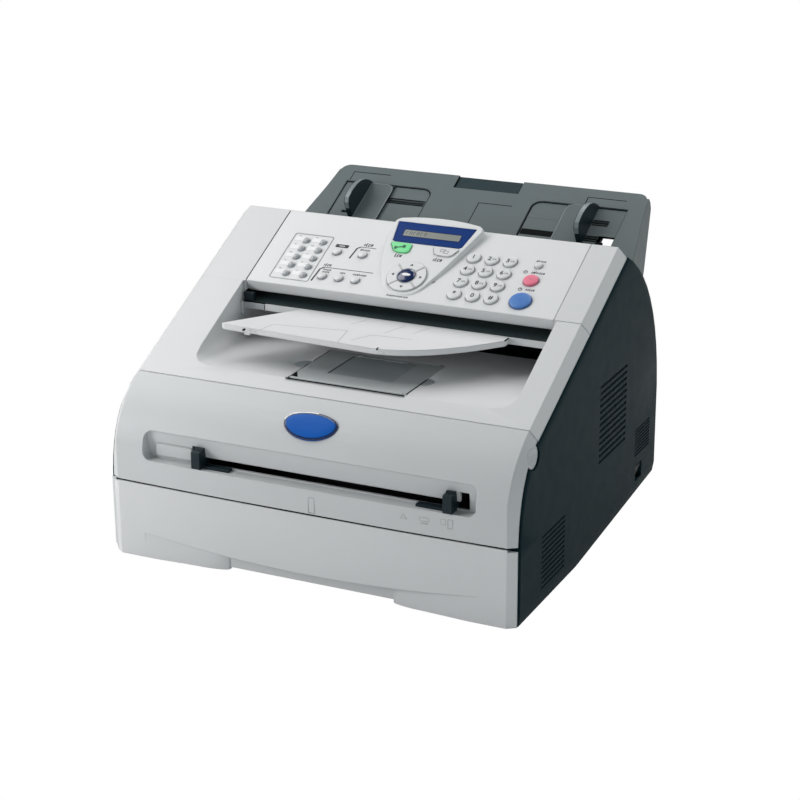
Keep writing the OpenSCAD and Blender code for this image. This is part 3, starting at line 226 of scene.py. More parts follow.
SMOOTH = smooth_by_angle()


def soften(o):
    """Smooth shading on a CAD piece, in place of the split normals it comes with."""
    if "custom_normal" in o.data.attributes:
        o.data.attributes.remove(o.data.attributes["custom_normal"])
    o.modifiers.new("smooth", "NODES").node_group = SMOOTH


OWN_MATERIAL = {"exit_plate": "exit_light", "front_cover": "cover_shaded_grey"}
for name, o in NODES.items():
    o.data.materials.clear()
    o.data.materials.append(MAT[OWN_MATERIAL.get(name, slot_of[name])])
    soften(o)


# ---------- mesh tools ----------


def to_object(name, bm, mat, body, where=None, smooth=False):
    """Makes the object, puts it in place and lets it ride on its body."""
    if where is not None:
        bm.transform(where)
    bmesh.ops.recalc_face_normals(bm, faces=bm.faces)
    mesh = bpy.data.meshes.new(name)
    bm.to_mesh(mesh)
    bm.free()
    o = bpy.data.objects.new(name, mesh)
    bpy.context.scene.collection.objects.link(o)
    mesh.materials.append(mat)
    if smooth:
        o.modifiers.new("smooth", "NODES").node_group = SMOOTH
    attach(o, body)
    return o


def add_plate(bm, points, low, high):
    """A flat plate: an outline in mm, between two heights in mm."""
    bottom = [bm.verts.new((x * MM, y * MM, low * MM)) for x, y in points]
    top = [bm.verts.new((x * MM, y * MM, high * MM)) for x, y in points]
    bm.faces.new(bottom[::-1])
    bm.faces.new(top)
    n = len(points)
    for i in range(n):
        bm.faces.new((bottom[i], bottom[(i + 1) % n], top[(i + 1) % n], top[i]))


def bar_points(a, b, width):
    """The outline of a straight bar between two points."""
    ax, ay = a
    bx, by = b
    length = math.hypot(bx - ax, by - ay)
    nx, ny = -(by - ay) / length * width / 2, (bx - ax) / length * width / 2
    return [(ax + nx, ay + ny), (ax - nx, ay - ny), (bx - nx, by - ny), (bx + nx, by + ny)]


def ring_plate(bm, outer, inner, low, high):
    """A closed band between two outlines with the same number of points."""
    n = len(outer)
    loops = []
    for pts, z in ((outer, low), (outer, high), (inner, high), (inner, low)):
        loops.append([bm.verts.new((x * MM, y * MM, z * MM)) for x, y in pts])
    for k in range(4):
        a, b = loops[k], loops[(k + 1) % 4]
        for i in range(n):
            j = (i + 1) % n
            bm.faces.new((a[i], a[j], b[j], b[i]))


def grown(points, d):
    """The outline moved outwards by d, for a convex anticlockwise outline."""
    n = len(points)
    out = []
    for i in range(n):
        (ax, ay), (bx, by), (cx, cy) = points[i - 1], points[i], points[(i + 1) % n]
        u = Vector((bx - ax, by - ay)).normalized()
        v = Vector((cx - bx, cy - by)).normalized()
        nu, nv = Vector((u.y, -u.x)), Vector((v.y, -v.x))
        k = (nu + nv) / max(0.2, 1 + nu.dot(nv))
        out.append((bx + k.x * d, by + k.y * d))
    return out


def rounded(points, r, steps=5):
    """Rounds the corners of a convex anticlockwise outline."""
    n = len(points)
    out = []
    for i in range(n):
        a, b, c = (Vector(points[i - 1]), Vector(points[i]), Vector(points[(i + 1) % n]))
        rr = min(r, (a - b).length * 0.45, (c - b).length * 0.45)
        p, q = b + (a - b).normalized() * rr, b + (c - b).normalized() * rr
        for s in range(steps + 1):
            t = s / steps
            w = p * (1 - t) ** 2 + b * 2 * t * (1 - t) + q * t * t
            out.append((w.x, w.y))
    return out


def rect(x0, y0, x1, y1):
    return [(x0, y0), (x1, y0), (x1, y1), (x0, y1)]


def sweep(bm, path, radius, sides=8):
    """A round bar along points in mm."""
    pts = [Vector(p) * MM for p in path]
    rings = []
    for i, p in enumerate(pts):
        d = (pts[min(i + 1, len(pts) - 1)] - pts[max(i - 1, 0)]).normalized()
        up = Vector((0, 0, 1)) if abs(d.z) < 0.9 else Vector((1, 0, 0))
        a = d.cross(up).normalized()
        b = a.cross(d)
        rings.append([bm.verts.new(p + (a * math.cos(t) + b * math.sin(t)) * radius * MM)
                      for t in [2 * math.pi * k / sides for k in range(sides)]])
    for r0, r1 in zip(rings, rings[1:]):
        for k in range(sides):
            j = (k + 1) % sides
            bm.faces.new((r0[k], r0[j], r1[j], r1[k]))
    bm.faces.new(rings[0][::-1])
    bm.faces.new(rings[-1])


def lathe(bm, profile, centre=(0, 0), steps=36, flat=1.0):
    """Turns (radius, height) points in mm round an axis; flat squeezes the shape in y."""
    cx, cy = centre
    rings = []
    for r, z in profile:
        if r == 0:
            rings.append([bm.verts.new((cx * MM, cy * MM, z * MM))])
        else:
            rings.append([bm.verts.new(((cx + r * math.cos(t)) * MM, (cy + flat * r * math.sin(t)) * MM, z * MM))
                          for t in [2 * math.pi * k / steps for k in range(steps)]])
    for a, b in zip(rings, rings[1:]):
        for k in range(steps):
            j = (k + 1) % steps
            if len(a) == 1:
                bm.faces.new((a[0], b[j], b[k]))
            elif len(b) == 1:
                bm.faces.new((a[k], a[j], b[0]))
            else:
                bm.faces.new((a[k], a[j], b[j], b[k]))


def lettering(name, text, size, where, mat, body):
    """Flat bold figures, centred on the origin of where; size in mm."""
    c = bpy.data.curves.new(name, "FONT")
    c.body = text
    c.size = size * MM
    c.align_x = "CENTER"
    c.align_y = "CENTER"
    c.extrude = 0.06 * MM
    c.offset = 0.13 * MM
    c.resolution_u = 3
    tmp = bpy.data.objects.new(name + "_curve", c)
    bpy.context.scene.collection.objects.link(tmp)
    bpy.context.view_layer.update()
    mesh = bpy.data.meshes.new_from_object(tmp.evaluated_get(bpy.context.evaluated_depsgraph_get()))
    bpy.data.objects.remove(tmp)
    mesh.name = name
    mesh.transform(where)
    mesh.materials.clear()
    mesh.materials.append(mat)
    o = bpy.data.objects.new(name, mesh)
    bpy.context.scene.collection.objects.link(o)
    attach(o, body)
    return o


def panel(x, s, n):
    """A place on the control panel: across, up the slope and off the face, in mm."""
    return ON_PANEL @ Matrix.Translation((x * MM, s * MM, n * MM))


# ---------- control panel: prints, window and keys ----------

TOP = 0.03  # prints lie this far above the surface, in mm
INK_T = 0.10  # and are this thick


def prints(name, plates, mat, where=ON_PANEL, body="control_panel", low=TOP,
           high=TOP + INK_T):
    """Thin flat shapes on a surface: prints, painted shade in gaps and small plates."""
    bm = bmesh.new()
    for pts in plates:
        add_plate(bm, pts, low, high)
    return to_object(name, bm, mat, body, where)


def words(x, s, counts, h=1.9):
    """A generic printed mark: leaning strokes in place of words. counts: strokes in each word, h: their height."""
    pitch, line, lean = h * 0.62, h * 0.23, 0.18
    shapes = [[(0, 0, 0, 1), (0, 1, 0.6, 1)], [(0, 0, 0, 0.7), (0, 0.7, 0.6, 0.7), (0.6, 0.7, 0.6, 0)],
              [(0, 0, 0.6, 0), (0, 0, 0, 0.7), (0, 0.7, 0.6, 0.7)], [(0, 0, 0, 1), (0, 0, 0.55, 0)],
              [(0.3, 0, 0.3, 0.75)], [(0, 0, 0, 0.7), (0, 0.35, 0.55, 0.35), (0.55, 0.7, 0.55, 0.3)]]
    total = sum(counts) * pitch + (len(counts) - 1) * pitch * 0.5
    out = []
    cx = x - total / 2
    k = 0
    for count in counts:
        for _ in range(count):
            for ax, ay, bx, by in shapes[(k * 5 + count) % len(shapes)]:
                a = (cx + ax * h * 0.5 + lean * ay * h, s + (ay - 0.4) * h)
                b = (cx + bx * h * 0.5 + lean * by * h, s + (by - 0.4) * h)
                out.append(bar_points(a, b, line))
            cx += pitch
            k += 1
        cx += pitch * 0.5
    return out


def circle(cx, cy, r, n=24):
    return [(cx + r * math.cos(t), cy + r * math.sin(t)) for t in [2 * math.pi * k / n for k in range(n)]]


touch_x = [-111.3, -94.6]
touch_s = [14.6 + 10.9 * k for k in range(5)]
frame_out = rounded(rect(-126, 7.4, -87.3, 67.2), 2.4)
bm = bmesh.new()
ring_plate(bm, frame_out, grown(frame_out, -0.75), TOP, TOP + 0.28)
to_object("one_touch_frame", bm, MAT["small_key_grey"], "control_panel", ON_PANEL)
prints("one_touch_labels", [rounded(rect(x - 12.0, s - 0.4, x - 3.2, s + 4.6), 0.8)
                            for x in touch_x for s in touch_s], INK_PALE)
prints("one_touch_names", [q for x in touch_x for i, s in enumerate(touch_s)
                           for q in words(x - 8.6, s + 5.6, [2 + (i + int(x)) % 2], 1.1)], INK_GREY_AND_GAP_SHADE)
prints("shift_label", [rounded(rect(-81.6, 55.0, -69.0, 59.0), 0.8)], INK)
prints("shift_label_mark", words(-75.3, 57.0, [5], 1.7), INK_PALE, low=INK_T + TOP, high=INK_T + TOP + 0.05)
marks = words(-51.5, 62.2, [4], 3.7) + words(-51.8, 55.2, [7], 2.1)
for a, b, width in (((-62.2, 42.8), (-60.4, 56.6), 1.4), ((-60.6, 56.2), (-57.6, 58.8), 1.2),
                    ((-57.8, 58.7), (-42.8, 58.7), 0.55), ((-84.6, 9.6), (-82.9, 25.6), 1.5),
                    ((-83.1, 25.2), (-80.0, 28.2), 1.2), ((-80.2, 28.1), (-32.5, 28.1), 0.6)):
    marks.append(bar_points(a, b, width))
for x, s, count, h in ((-78.0, 31.2, 4, 3.1), (-75.8, 25.2, 6, 2.1), (-75.8, 22.4, 5, 2.1), (-60.0, 23.5, 4, 2.1),
                       (-43.6, 23.6, 10, 2.1), (109.4, 67.4, 7, 2.0), (111.8, 52.8, 8, 2.4), (112.2, 31.4, 5, 2.6)):
    marks += words(x, s, [count], h)
prints("panel_marks", marks, INK)
bm = bmesh.new()
for cx, cs in ((100.2, 52.6), (103.2, 31.2)):
    ring_plate(bm, circle(cx, cs, 1.9), circle(cx, cs, 1.3), TOP, TOP + INK_T)
    add_plate(bm, bar_points((cx, cs - 0.2), (cx, cs + 1.0), 0.5), TOP, TOP + INK_T)
to_object("panel_round_marks", bm, INK, "control_panel", ON_PANEL)
prints("shield_marks", words(-16.8, 50.1, [3], 3.6) + words(20.2, 50.4, [4], 3.6), INK, ON_SHIELD)
prints("ring_marks", words(0.6, 4.0, [6, 6, 4]) + words(24.4, 32.6, [1], 2.2) + words(-21.8, 29.5, [1], 1.6), INK)
prints("volume_mark", [bar_points((24.0, 27.4), (25.4, 28.6), 0.5), bar_points((25.4, 28.6), (25.4, 25.2), 0.5),
                       bar_points((24.0, 26.4), (25.4, 25.2), 0.5), bar_points((26.6, 28.2), (26.6, 25.6), 0.4)], INK)
prints("panel_gap_shade", [rect(-145.4, 0.4, -144.45, 95.0)], SHADE, ON_PANEL, "machine", 0.01, 0.04)

# the display and its bezel
lcd = rounded(rect(-22.6, 74.4, 31.0, 81.8), 0.6)
GLASS = 0.21  # height of the window's face
bm = bmesh.new()
add_plate(bm, lcd, GLASS, GLASS + 0.09)
to_object("display_glass", bm, LCD, "control_panel", ON_SHIELD)
bm = bmesh.new()
ring_plate(bm, grown(lcd, 0.5), lcd, GLASS, GLASS + 0.2)
to_object("display_rim", bm, MAT["set_navy"], "control_panel", ON_SHIELD)
bm = bmesh.new()
segment_w, segment_h, segment_s = 2.2, 3.6, 76.2
for i in range(6):
    x = -20.4 + 3.5 * i
    for ax, ay, bx, by in ([0, 0, 0, 1], [0, 1, 0.7, 1], [0.7, 1, 0.7, 0.1])[: 2 + i % 2]:
        ends = [(x + u * segment_w, segment_s + v * segment_h) for u, v in ((ax, ay), (bx, by))]
        add_plate(bm, bar_points(*ends, 0.55), GLASS + 0.09, GLASS + 0.12)
to_object("display_segments", bm, LCD_INK, "control_panel", ON_SHIELD)
bm = bmesh.new()
window = [(-32.6, 91.0), (-29.4, 68.0), (-27.0, 66.8), (33.6, 66.8), (36.0, 68.0), (41.5, 91.0)]
ring_plate(bm, window, grown(window, -0.7), GLASS, GLASS + 0.12)
to_object("window_edge", bm, MAT["window_blue"], "control_panel", ON_SHIELD)


def key_dome(name, body, centre, r, base, mat, crown=0.7, where=ON_PANEL):
    """A softly crowned cap with a rolled rim over a round key."""
    bm = bmesh.new()
    prof = [(r * 0.995, base - 0.05), (r * 0.985, base + 0.12), (r * 0.93, base + 0.30)]
    prof += [(r * 0.93 * math.cos(a), base + 0.30 + crown * math.sin(a)) for a in
             [math.radians(k) for k in (20, 40, 60, 75)]] + [(0, base + 0.30 + crown)]
    lathe(bm, prof, centre, 40)
    return to_object(name, bm, mat, body, where, smooth=True)


KEY_TOP = 1.6  # height of the round keys' faces


def key_gap_shades(name, places, r, width):
    """The gap around each round key with its shade painted in, as a grey ring seen from above."""
    bm = bmesh.new()
    for cx, cs in places:
        ring_plate(bm, circle(cx, cs, r + width, 36), circle(cx, cs, r, 36), 0.01, 0.06)
    to_object(name, bm, INK_GREY_AND_GAP_SHADE, "control_panel", ON_PANEL)


keypad = [(49.5 + c * 16.8, 61.4 - r * 15.6) for r in range(4) for c in range(3)]
key_names = ["key_%d" % k for k in range(1, 10)] + ["key_star", "key_0", "key_hash"]
for name, face, (kx, ks) in zip(key_names, "123456789*0#", keypad):
    plain = face in "1*0#"
    key_dome("cap_" + name, name, (kx, ks), 5.9, KEY_TOP, MAT["key_grey"], crown=0.25)
    lettering("digit_" + name, face, 6.4, panel(kx - (0 if plain else 1.8), ks, KEY_TOP + 0.58), INK, name)
    if not plain:
        prints("mark_" + name, words(kx + 2.5, ks - 0.1, [3], 1.9), INK_GREY_AND_GAP_SHADE, ON_PANEL, name,
               KEY_TOP + 0.50, KEY_TOP + 0.60)

# painted shade in the gaps round the keypad keys, as grey rings
key_gap_shades("keypad_gap_shades", keypad, 6.12, 0.5)
small = {"shift_key": (-76.5, 48.4), "options_key": (-51.5, 48.4), "redial_key": (-76.8, 16.2),
         "hook_key": (-60.5, 16.2), "resolution_key": (-44.5, 16.2)}
for name, c in small.items():
    key_dome("cap_" + name, name, c, 3.8, KEY_TOP, MAT["key_grey"], crown=0.7)
for row in range(5):
    for col in range(2):
        key_dome("cap_touch_%d_%d" % (row, col), "one_touch_keys", (touch_x[col], touch_s[row]), 3.0,
                 KEY_TOP - 0.6, MAT["small_key_grey"], crown=1.4)
# painted shade in the gaps round the small, one-touch and function keys
key_gap_shades("small_key_gap_shades", list(small.values()), 3.92, 0.35)
key_gap_shades("touch_key_gap_shades", [(x, y) for x in touch_x for y in touch_s], 3.1, 0.3)
REPORTS_AT, STOP_AT, START_AT = (109, 61.4), (109, 42.3), (109, 16.6)
key_gap_shades("reports_key_gap_shade", [REPORTS_AT], 3.45, 0.35)
key_gap_shades("stop_key_gap_shade", [STOP_AT], 6.7, 0.5)
key_gap_shades("start_key_gap_shade", [START_AT], 9.7, 0.6)
key_dome("cap_reports", "reports_key", REPORTS_AT, 3.3, KEY_TOP, MAT["key_grey"], crown=0.6)
key_dome("cap_stop", "stop_key", STOP_AT, 6.5, KEY_TOP, MAT["stop_pink"], crown=0.6)
key_dome("cap_start", "start_key", START_AT, 9.4, KEY_TOP, MAT["start_blue"], crown=0.7)
prints("stop_mark", [bar_points((107.4, 42.3), (110.6, 42.3), 0.5)], INK_GREY_AND_GAP_SHADE, ON_PANEL, "stop_key",
       KEY_TOP + 0.88, KEY_TOP + 0.95)
prints("start_mark", [bar_points((109, 15.4), (109, 17.8), 0.45), bar_points((107.8, 16.6), (110.2, 16.6), 0.45)],
       PRINT_BLUE, ON_PANEL, "start_key", KEY_TOP + 0.98, KEY_TOP + 1.05)

nav_c = (0.6, 27.0)
NAV_TOP, SET_TOP, MODE_TOP = 1.4, 1.8, 1.2  # heights of the ring, set and mode keys' faces
key_dome("cap_set", "set_key", nav_c, 7.8, SET_TOP, MAT["set_navy"], 1.0, ON_SHIELD)
bm = bmesh.new()
lathe(bm, [(0, SET_TOP + 1.36), (2.2, SET_TOP + 1.31), (4.0, SET_TOP + 1.14), (4.0, SET_TOP + 0.9)],
      nav_c, 32, 0.62)
to_object("set_key_mark", bm, INK_PALE, "set_key", ON_SHIELD, smooth=True)
bm = bmesh.new()
lathe(bm, [(8.15, 0.2), (8.15, NAV_TOP + 0.06), (9.0, NAV_TOP + 0.16), (9.3, NAV_TOP + 0.02), (9.0, 0.2)],
      nav_c, 48)
to_object("set_key_collar", bm, MAT["small_key_grey"], "set_key", ON_SHIELD, smooth=True)

bm = bmesh.new()
for k in range(4):
    a = math.radians(45 + 90 * k)
    pts = [(nav_c[0] + r * math.cos(a), nav_c[1] + r * math.sin(a)) for r in (8.9, 17.3)]
    add_plate(bm, bar_points(pts[0], pts[1], 0.8), 0.1, NAV_TOP + 0.35)
to_object("nav_ridges", bm, MAT["panel_shell"], "control_panel", ON_SHIELD)

nav_names = ["nav_key_up", "nav_key_right", "nav_key_down", "nav_key_left"]
for i, name in enumerate(nav_names):
    turn = ON_SHIELD @ placed(*nav_c, 0) @ Matrix.Rotation(-QUARTER_TURN * i, 4, "Z")
    prints("arrow_" + name, [[(-1.6, 12.0), (1.6, 12.0), (0, 14.4)]], INK, turn, name,
           NAV_TOP + 0.01, NAV_TOP + 0.10)

# marks on the two mode keys: a plain handset and a plain sheet pair
prints("fax_key_mark", [bar_points((-22.8, 58.2), (-15.2, 61.0), 1.2), rounded(rect(-24.0, 56.6, -21.4, 60.0), 0.5),
                        rounded(rect(-16.6, 59.0, -13.8, 62.4), 0.5)], PRINT_GREEN, ON_SHIELD, "fax_key",
       MODE_TOP + 0.01, MODE_TOP + 0.10)
bm = bmesh.new()
for pts in (rect(19.0, 59.4, 23.6, 62.8), rect(22.4, 58.0, 27.0, 61.4)):
    ring_plate(bm, pts, grown(pts, -0.45), MODE_TOP + 0.01, MODE_TOP + 0.10)
to_object("copy_key_mark", bm, INK_GREY_AND_GAP_SHADE, "copy_key", ON_SHIELD)


# ---------- badge: navy rim, a painted glint and a blank dome -------


def bez(a, b, c, n=10):
    """Points on a quadratic curve."""
    return [tuple(a[k] * (1 - t) ** 2 + b[k] * 2 * t * (1 - t) + c[k] * t * t for k in range(2))
            for t in [i / n for i in range(n + 1)]]


bow_mid = CREST_Z - 45.5 * math.tan(math.radians(28))
bow = bez((FRONT_Y, 82), (FRONT_Y, bow_mid), (CREST_Y, CREST_Z))
badge_tilt = math.atan2(bow[8][1] - bow[6][1], bow[8][0] - bow[6][0])
ON_BADGE = placed(-2.75, bow[7][0], bow[7][1], badge_tilt)


BADGE_HALF, BADGE_UP, BADGE_DOWN = 24, 9.76, 14.64


def badge_ring(k, n=72):
    """The badge's outline, moved outwards by k: flat at the top and deep at the bottom."""
    pts = []
    for i in range(n):
        a = 2 * math.pi * i / n
        sn = math.sin(a)
        pts.append(((BADGE_HALF + k) * math.cos(a), ((BADGE_UP if sn > 0 else BADGE_DOWN) + k) * sn + 2.44))
    return pts


def ring_loft(bm, levels):
    """A closed shape through (outline, height) levels."""
    loops = [[bm.verts.new((x * MM, y * MM, z * MM)) for x, y in pts] for pts, z in levels]
    for a, b in zip(loops, loops[1:]):
        n = len(a)
        for i in range(n):
            j = (i + 1) % n
            bm.faces.new((a[i], a[j], b[j], b[i]))
    bm.faces.new(loops[0][::-1])
    bm.faces.new(loops[-1])


for name, mat, levels in (
        ("badge_rim", RIM_NAVY, ((0.08, 0.3), (0.08, 0.75), (-0.25, 0.95), (-0.55, 0.95))),
        ("badge_band", RIM_NAVY, ((-0.5, 0.6), (-0.6, 1.0), (-1.6, 1.1), (-1.8, 1.0))),
        ("badge_dome", MAT["badge_blue"],
         ((-1.6, 0.9), (-1.9, 1.2), (-3.2, 1.45), (-5.0, 1.62), (-7.0, 1.72), (-9.0, 1.75)))):
    bm = bmesh.new()
    ring_loft(bm, [(badge_ring(k), z) for k, z in levels])
    to_object(name, bm, mat, "front_cover", ON_BADGE, smooth=True)
# painted highlight: a pale glint on the rim's upper left
bm = bmesh.new()
outer, inner = [badge_ring(e) for e in (0.05, -0.75)]
upper_left = sorted([i for i, (x, y) in enumerate(outer) if y > 1.5 and x < 6], key=lambda i: outer[i][0])
add_plate(bm, [outer[i] for i in upper_left] + [inner[i] for i in upper_left[::-1]], 0.9, 1.2)
to_object("badge_painted_glint", bm, GLINT_AND_PIN_GREY, "front_cover", ON_BADGE)


# ---------- scanner slot, output well and exit plate ----------


def board(name, mat, low, high, where=None, body="machine"):
    """A plain block between two corners in mm."""
    bm = bmesh.new()
    add_plate(bm, rect(low[0], low[1], high[0], high[1]), low[2], high[2])
    return to_object(name, bm, mat, body, where)


cheek_in = 144.8
feed_rear_y = LIP_Y + 96 * math.cos(SLOPE) + 6
feed_rear_z = TRAY_TOP_Z - (TRAY_TOP_Y - feed_rear_y) * math.tan(TRAY_SLOPE) - 1.5
deck_rise = math.atan2(feed_rear_z - BAR_Z1, feed_rear_y - DECK_FRONT_Y)
ON_DECK = placed(PANEL_X, DECK_FRONT_Y, BAR_Z1, deck_rise)
# slot_shade_teal: painted shade, a dark teal sheet over the deck inside the scanner slot
SLOT_SHADE_TEAL = material("slot_shade_teal", (0.013, 0.024, 0.026), rough=0.5, spec=0.3, relief=0.1, edge=0)
board("slot_shade", SLOT_SHADE_TEAL, (-cheek_in + 0.5, 1.5, 0.1), (cheek_in - 0.5, 92.0, 0.7), ON_DECK)
for side in (-1, 1):
    x0, x1 = sorted((side * (cheek_in - 0.6), side * (cheek_in + 0.3)))
    board("slot_end_shade_%d" % side, SHADE, (x0, 7.0, 0.1), (x1, 40.0, 8.0), ON_DECK)
# painted shade at the slot's left end under the panel's lip: a dark block, black sheets in its gaps and a darker grey
# face on the bar's end
board("slot_end_shaded_block", MAT["guide_dark"], (-135.2, DECK_FRONT_Y + 2.0, BAR_Z1 + 0.9),
      (-126.0, DECK_FRONT_Y + 6.0, BAR_Z1 + 8.3))
board("slot_end_gap_shade", SHADE, (-135.2, DECK_FRONT_Y + 0.4, BAR_Z1 + 0.05),
      (-113.4, DECK_FRONT_Y + 6.0, BAR_Z1 + 0.85))
board("bar_end_shaded_face", MAT["small_key_grey"], (-135.2, DECK_FRONT_Y - 0.12, BAR_Z1 - 5.4),
      (-114.2, DECK_FRONT_Y - 0.02, BAR_Z1 - 0.1))
board("bar_end_gap_shade", SHADE, (-114.2, DECK_FRONT_Y - 0.14, BAR_Z1 - 5.4),
      (-113.5, DECK_FRONT_Y - 0.02, BAR_Z1 - 0.1))
prints("left_seam_cover", [rect(-186.6, -0.75, -145.6, 0.75)], LIGHT_FLAT, ON_PANEL, "machine",
       -0.35, 0.03)

# the shaded rear of the output well
WELL_HALF, WELL_REAR = 147.2, 20.0
board("well_rear_shade", SHADE, (PANEL_X - WELL_HALF + 1, WELL_REAR - 0.6, WELL_Z + 0.3),
      (PANEL_X + WELL_HALF - 1, WELL_REAR - 0.1, 177.4))
board("well_mouth_shade", SHADE, (PANEL_X - WELL_HALF + 8, 2.0, WELL_Z + 0.02),
      (PANEL_X + WELL_HALF - 3, WELL_REAR - 0.3, WELL_Z + 0.5))

# the exit plate: embossed outline of its extension drawn as painted shade lines, two small clips and three painted
# shade gaps
ON_EXIT = placed(0, DECK_FRONT_Y - 0.3, BAR_Z1, math.radians(0.8))
lines = [((-84, -71), (-80, -46)), ((-80, -46), (-14, -36)), ((-14, -36), (-8, -66)), ((0, -57), (10, -38)),
         ((10, -38), (46, -36)), ((-19, -19), (-12, -3)), ((17, -30), (25, -5)), ((40, -22), (46, -3))]
prints("exit_plate_lines", [bar_points(a, b, 0.55) for a, b in lines], MOULDING_SHADE, ON_EXIT, "machine",
       0.005, 0.06)
for i, (x, y) in enumerate(((-97, -68.4), (28.5, -68.6))):
    board("exit_clip_shade_%d" % i, SHADE, (x, y, -1.2), (x + 1.4, y + 3.2, 0.10), ON_EXIT)
    board("exit_clip_%d" % i, MAT["light_shell"], (x + 1.6, y + 0.2, -4.4), (x + 7.0, y + 1.6, -2.2), ON_EXIT)
board("exit_clip_shade_2", SHADE, (116.4, -8.6, -0.4), (117.6, -0.4, 0.08), ON_EXIT)

# the output flap: sunk panel, rolled front edge, wires, painted shade in its gap in the floor and in the finger
# scoops, and a painted highlight on its rear edge
FLAP_Y, FLAP_W, FLAP_L = -126.4, 107.0, 81.0
flap_left, flap_right = PANEL_X - FLAP_W / 2, PANEL_X + FLAP_W / 2
fx0, fx1 = PANEL_X - FLAP_W * 0.27, PANEL_X + FLAP_W * 0.29
fy0, fy1 = FLAP_Y + FLAP_L * 0.3, FLAP_Y + FLAP_L * 0.92
prints("flap_panel_shade", [rect(fx0, fy0, fx0 + 1.3, fy1), rect(fx0, fy1 - 0.9, fx1, fy1)], SHADE,
       ON_WELL, "output_flap", -0.58, -0.45)
prints("flap_panel", [rect(fx0 + 1.2, fy0, fx1, fy1 - 0.8)], FLAP_PANEL_AND_SCOOP_SHADE, ON_WELL, "output_flap",
       -0.59, -0.40)
bm = bmesh.new()
sweep(bm, [(flap_left + 2, FLAP_Y + 1.6, WELL_Z), (flap_right - 2, FLAP_Y + 1.6, WELL_Z)], 1.3, 12)
to_object("flap_front_roll", bm, MAT["flap_grey"], "output_flap", None, True)
bm = bmesh.new()
for x, y in ((fx0 + 3.5, fy1 + 0.6), (fx1 - 8.5, fy1 - 1.6)):
    sweep(bm, [(x, y, WELL_Z + 0.2), (x + 5, y, WELL_Z + 0.2)], 0.55)
for x, y in ((flap_right - 3, FLAP_Y + FLAP_L - 0.9), (flap_left + 1.5, FLAP_Y + 6.4)):
    sweep(bm, [(x, y - 2.6, WELL_Z + 0.2), (x, y, WELL_Z + 0.3), (x + 1.4, y + 0.5, WELL_Z + 0.2)], 0.45)
to_object("flap_wires", bm, WIRE, "output_flap", None, True)
prints("flap_corner_shade", [[(-44.1, -109), (-44.1, -126.2), (-38.4, -126.2), (-36.8, -121.6)]], SHADE,
       ON_WELL, "output_flap", 0.02, 0.06)
prints("flap_side_shades", [rect(62.95, -124, 64.3, -84), rect(-45.3, -78, -44.35, -47)], SHADE, ON_WELL,
       "machine", 0.02, 0.05)
# painted shade: grey half discs for the finger scoops in the floor
half_circle = [(math.cos(a), math.sin(a)) for a in [math.pi / 12 * k for k in range(-6, 7)]]
scoops = [[(-45.4 - 11 * c, -89.5 + 9.5 * s) for c, s in half_circle],
          [(64.4 + 8 * c, -90 + 9 * s) for c, s in half_circle]]
prints("finger_scoop_shades", scoops, FLAP_PANEL_AND_SCOOP_SHADE, ON_WELL, "machine", 0.01, 0.05)
# painted highlight: a light strip along the flap's rear edge
prints("flap_rear_edge_highlight", [rect(-20, -47.2, 61.5, -46.5)], MAT["light_shell"], ON_WELL, "output_flap",
       0.02, 0.12)
board("flap_gap_shade", SHADE, (flap_left - 1, FLAP_Y - 2.4, WELL_Z + 0.02),
      (flap_right + 1, FLAP_Y - 0.1, WELL_Z + 0.06))


# ---------- manual feed recess and moulded marks ----------

RECESS_Y = -176.4
pad = rounded(rect(-143.5, 92.8, -107.0, 104.6), 4.0)
ON_FACE = placed(0, RECESS_Y, 0, QUARTER_TURN)
bm = bmesh.new()
add_plate(bm, pad, -1.0, 0.2)
add_plate(bm, grown(pad, -0.7), 0.2, 0.6)
to_object("recess_pad", bm, MAT["cover_shaded_grey"], "front_cover", ON_FACE, smooth=True)

ON_BROW = placed(0, FRONT_Y, 0, QUARTER_TURN)


def bulge(x):
    """How far the bowed front lies behind its foremost line at x."""
    return 3.0 * (x / 177.7) ** 2


# painted shade in the seam above the cassette and a light corner in front of the left side cover
bm = bmesh.new()
run = [-176 + 8 * k for k in range(45)]
band = [(x, FRONT_Y + bulge(x) + 1.0) for x in run] + [(x, FRONT_Y + bulge(x) + 1.4) for x in run[::-1]]
add_plate(bm, band, 68.05, 69.35)
to_object("seam_shade", bm, SHADE, "paper_cassette")
board("corner_bead", LIGHT_FLAT, (-186.9, -178.85, 6.0), (-183.0, -178.5, 68.0), body="paper_cassette")

icons = ((8.2, [rounded(rect(-3.0, 70.5, 3.0, 84.5), 1.6)]), (90.5, [[(-3.4, 80.2), (3.0, 80.2), (-0.6, 84.8)]]),
         (108.0, [rounded(rect(-4.4, 80.6, 4.4, 84.2), 0.8), rect(-3.0, 78.6, 3.0, 79.6)]),
         (127.5, [rounded(rect(-5.6, 80.6, -1.0, 85.6), 0.8), rounded(rect(0.4, 78.0, 5.0, 86.0), 0.8)]))
# the moulded icons on the front, drawn in a darker grey: painted shade of their relief
for i, (cx, outlines) in enumerate(icons):
    bm = bmesh.new()
    for pts in outlines:
        moved = [(cx + x, z) for x, z in pts]
        ring_plate(bm, moved, grown(moved, -0.55), -0.4, 0.12)
    depth = placed(0, bulge(cx), 0)
    to_object("front_icon_%d" % i, bm, MOULDING_SHADE, "front_cover", depth @ ON_BROW)


# ---------- rear inlet and line sockets ----------

INLET_Y, SOCKET_X = 144.0, -185.25


def fitting(name, mat, low, high):
    """A block of the inlet or of the line sockets."""
    board(name, mat, low, high)


fitting("inlet_face", MAT["guide_dark"], (142.8, INLET_Y, 26.3), (169.2, INLET_Y + 0.3, 45.7))
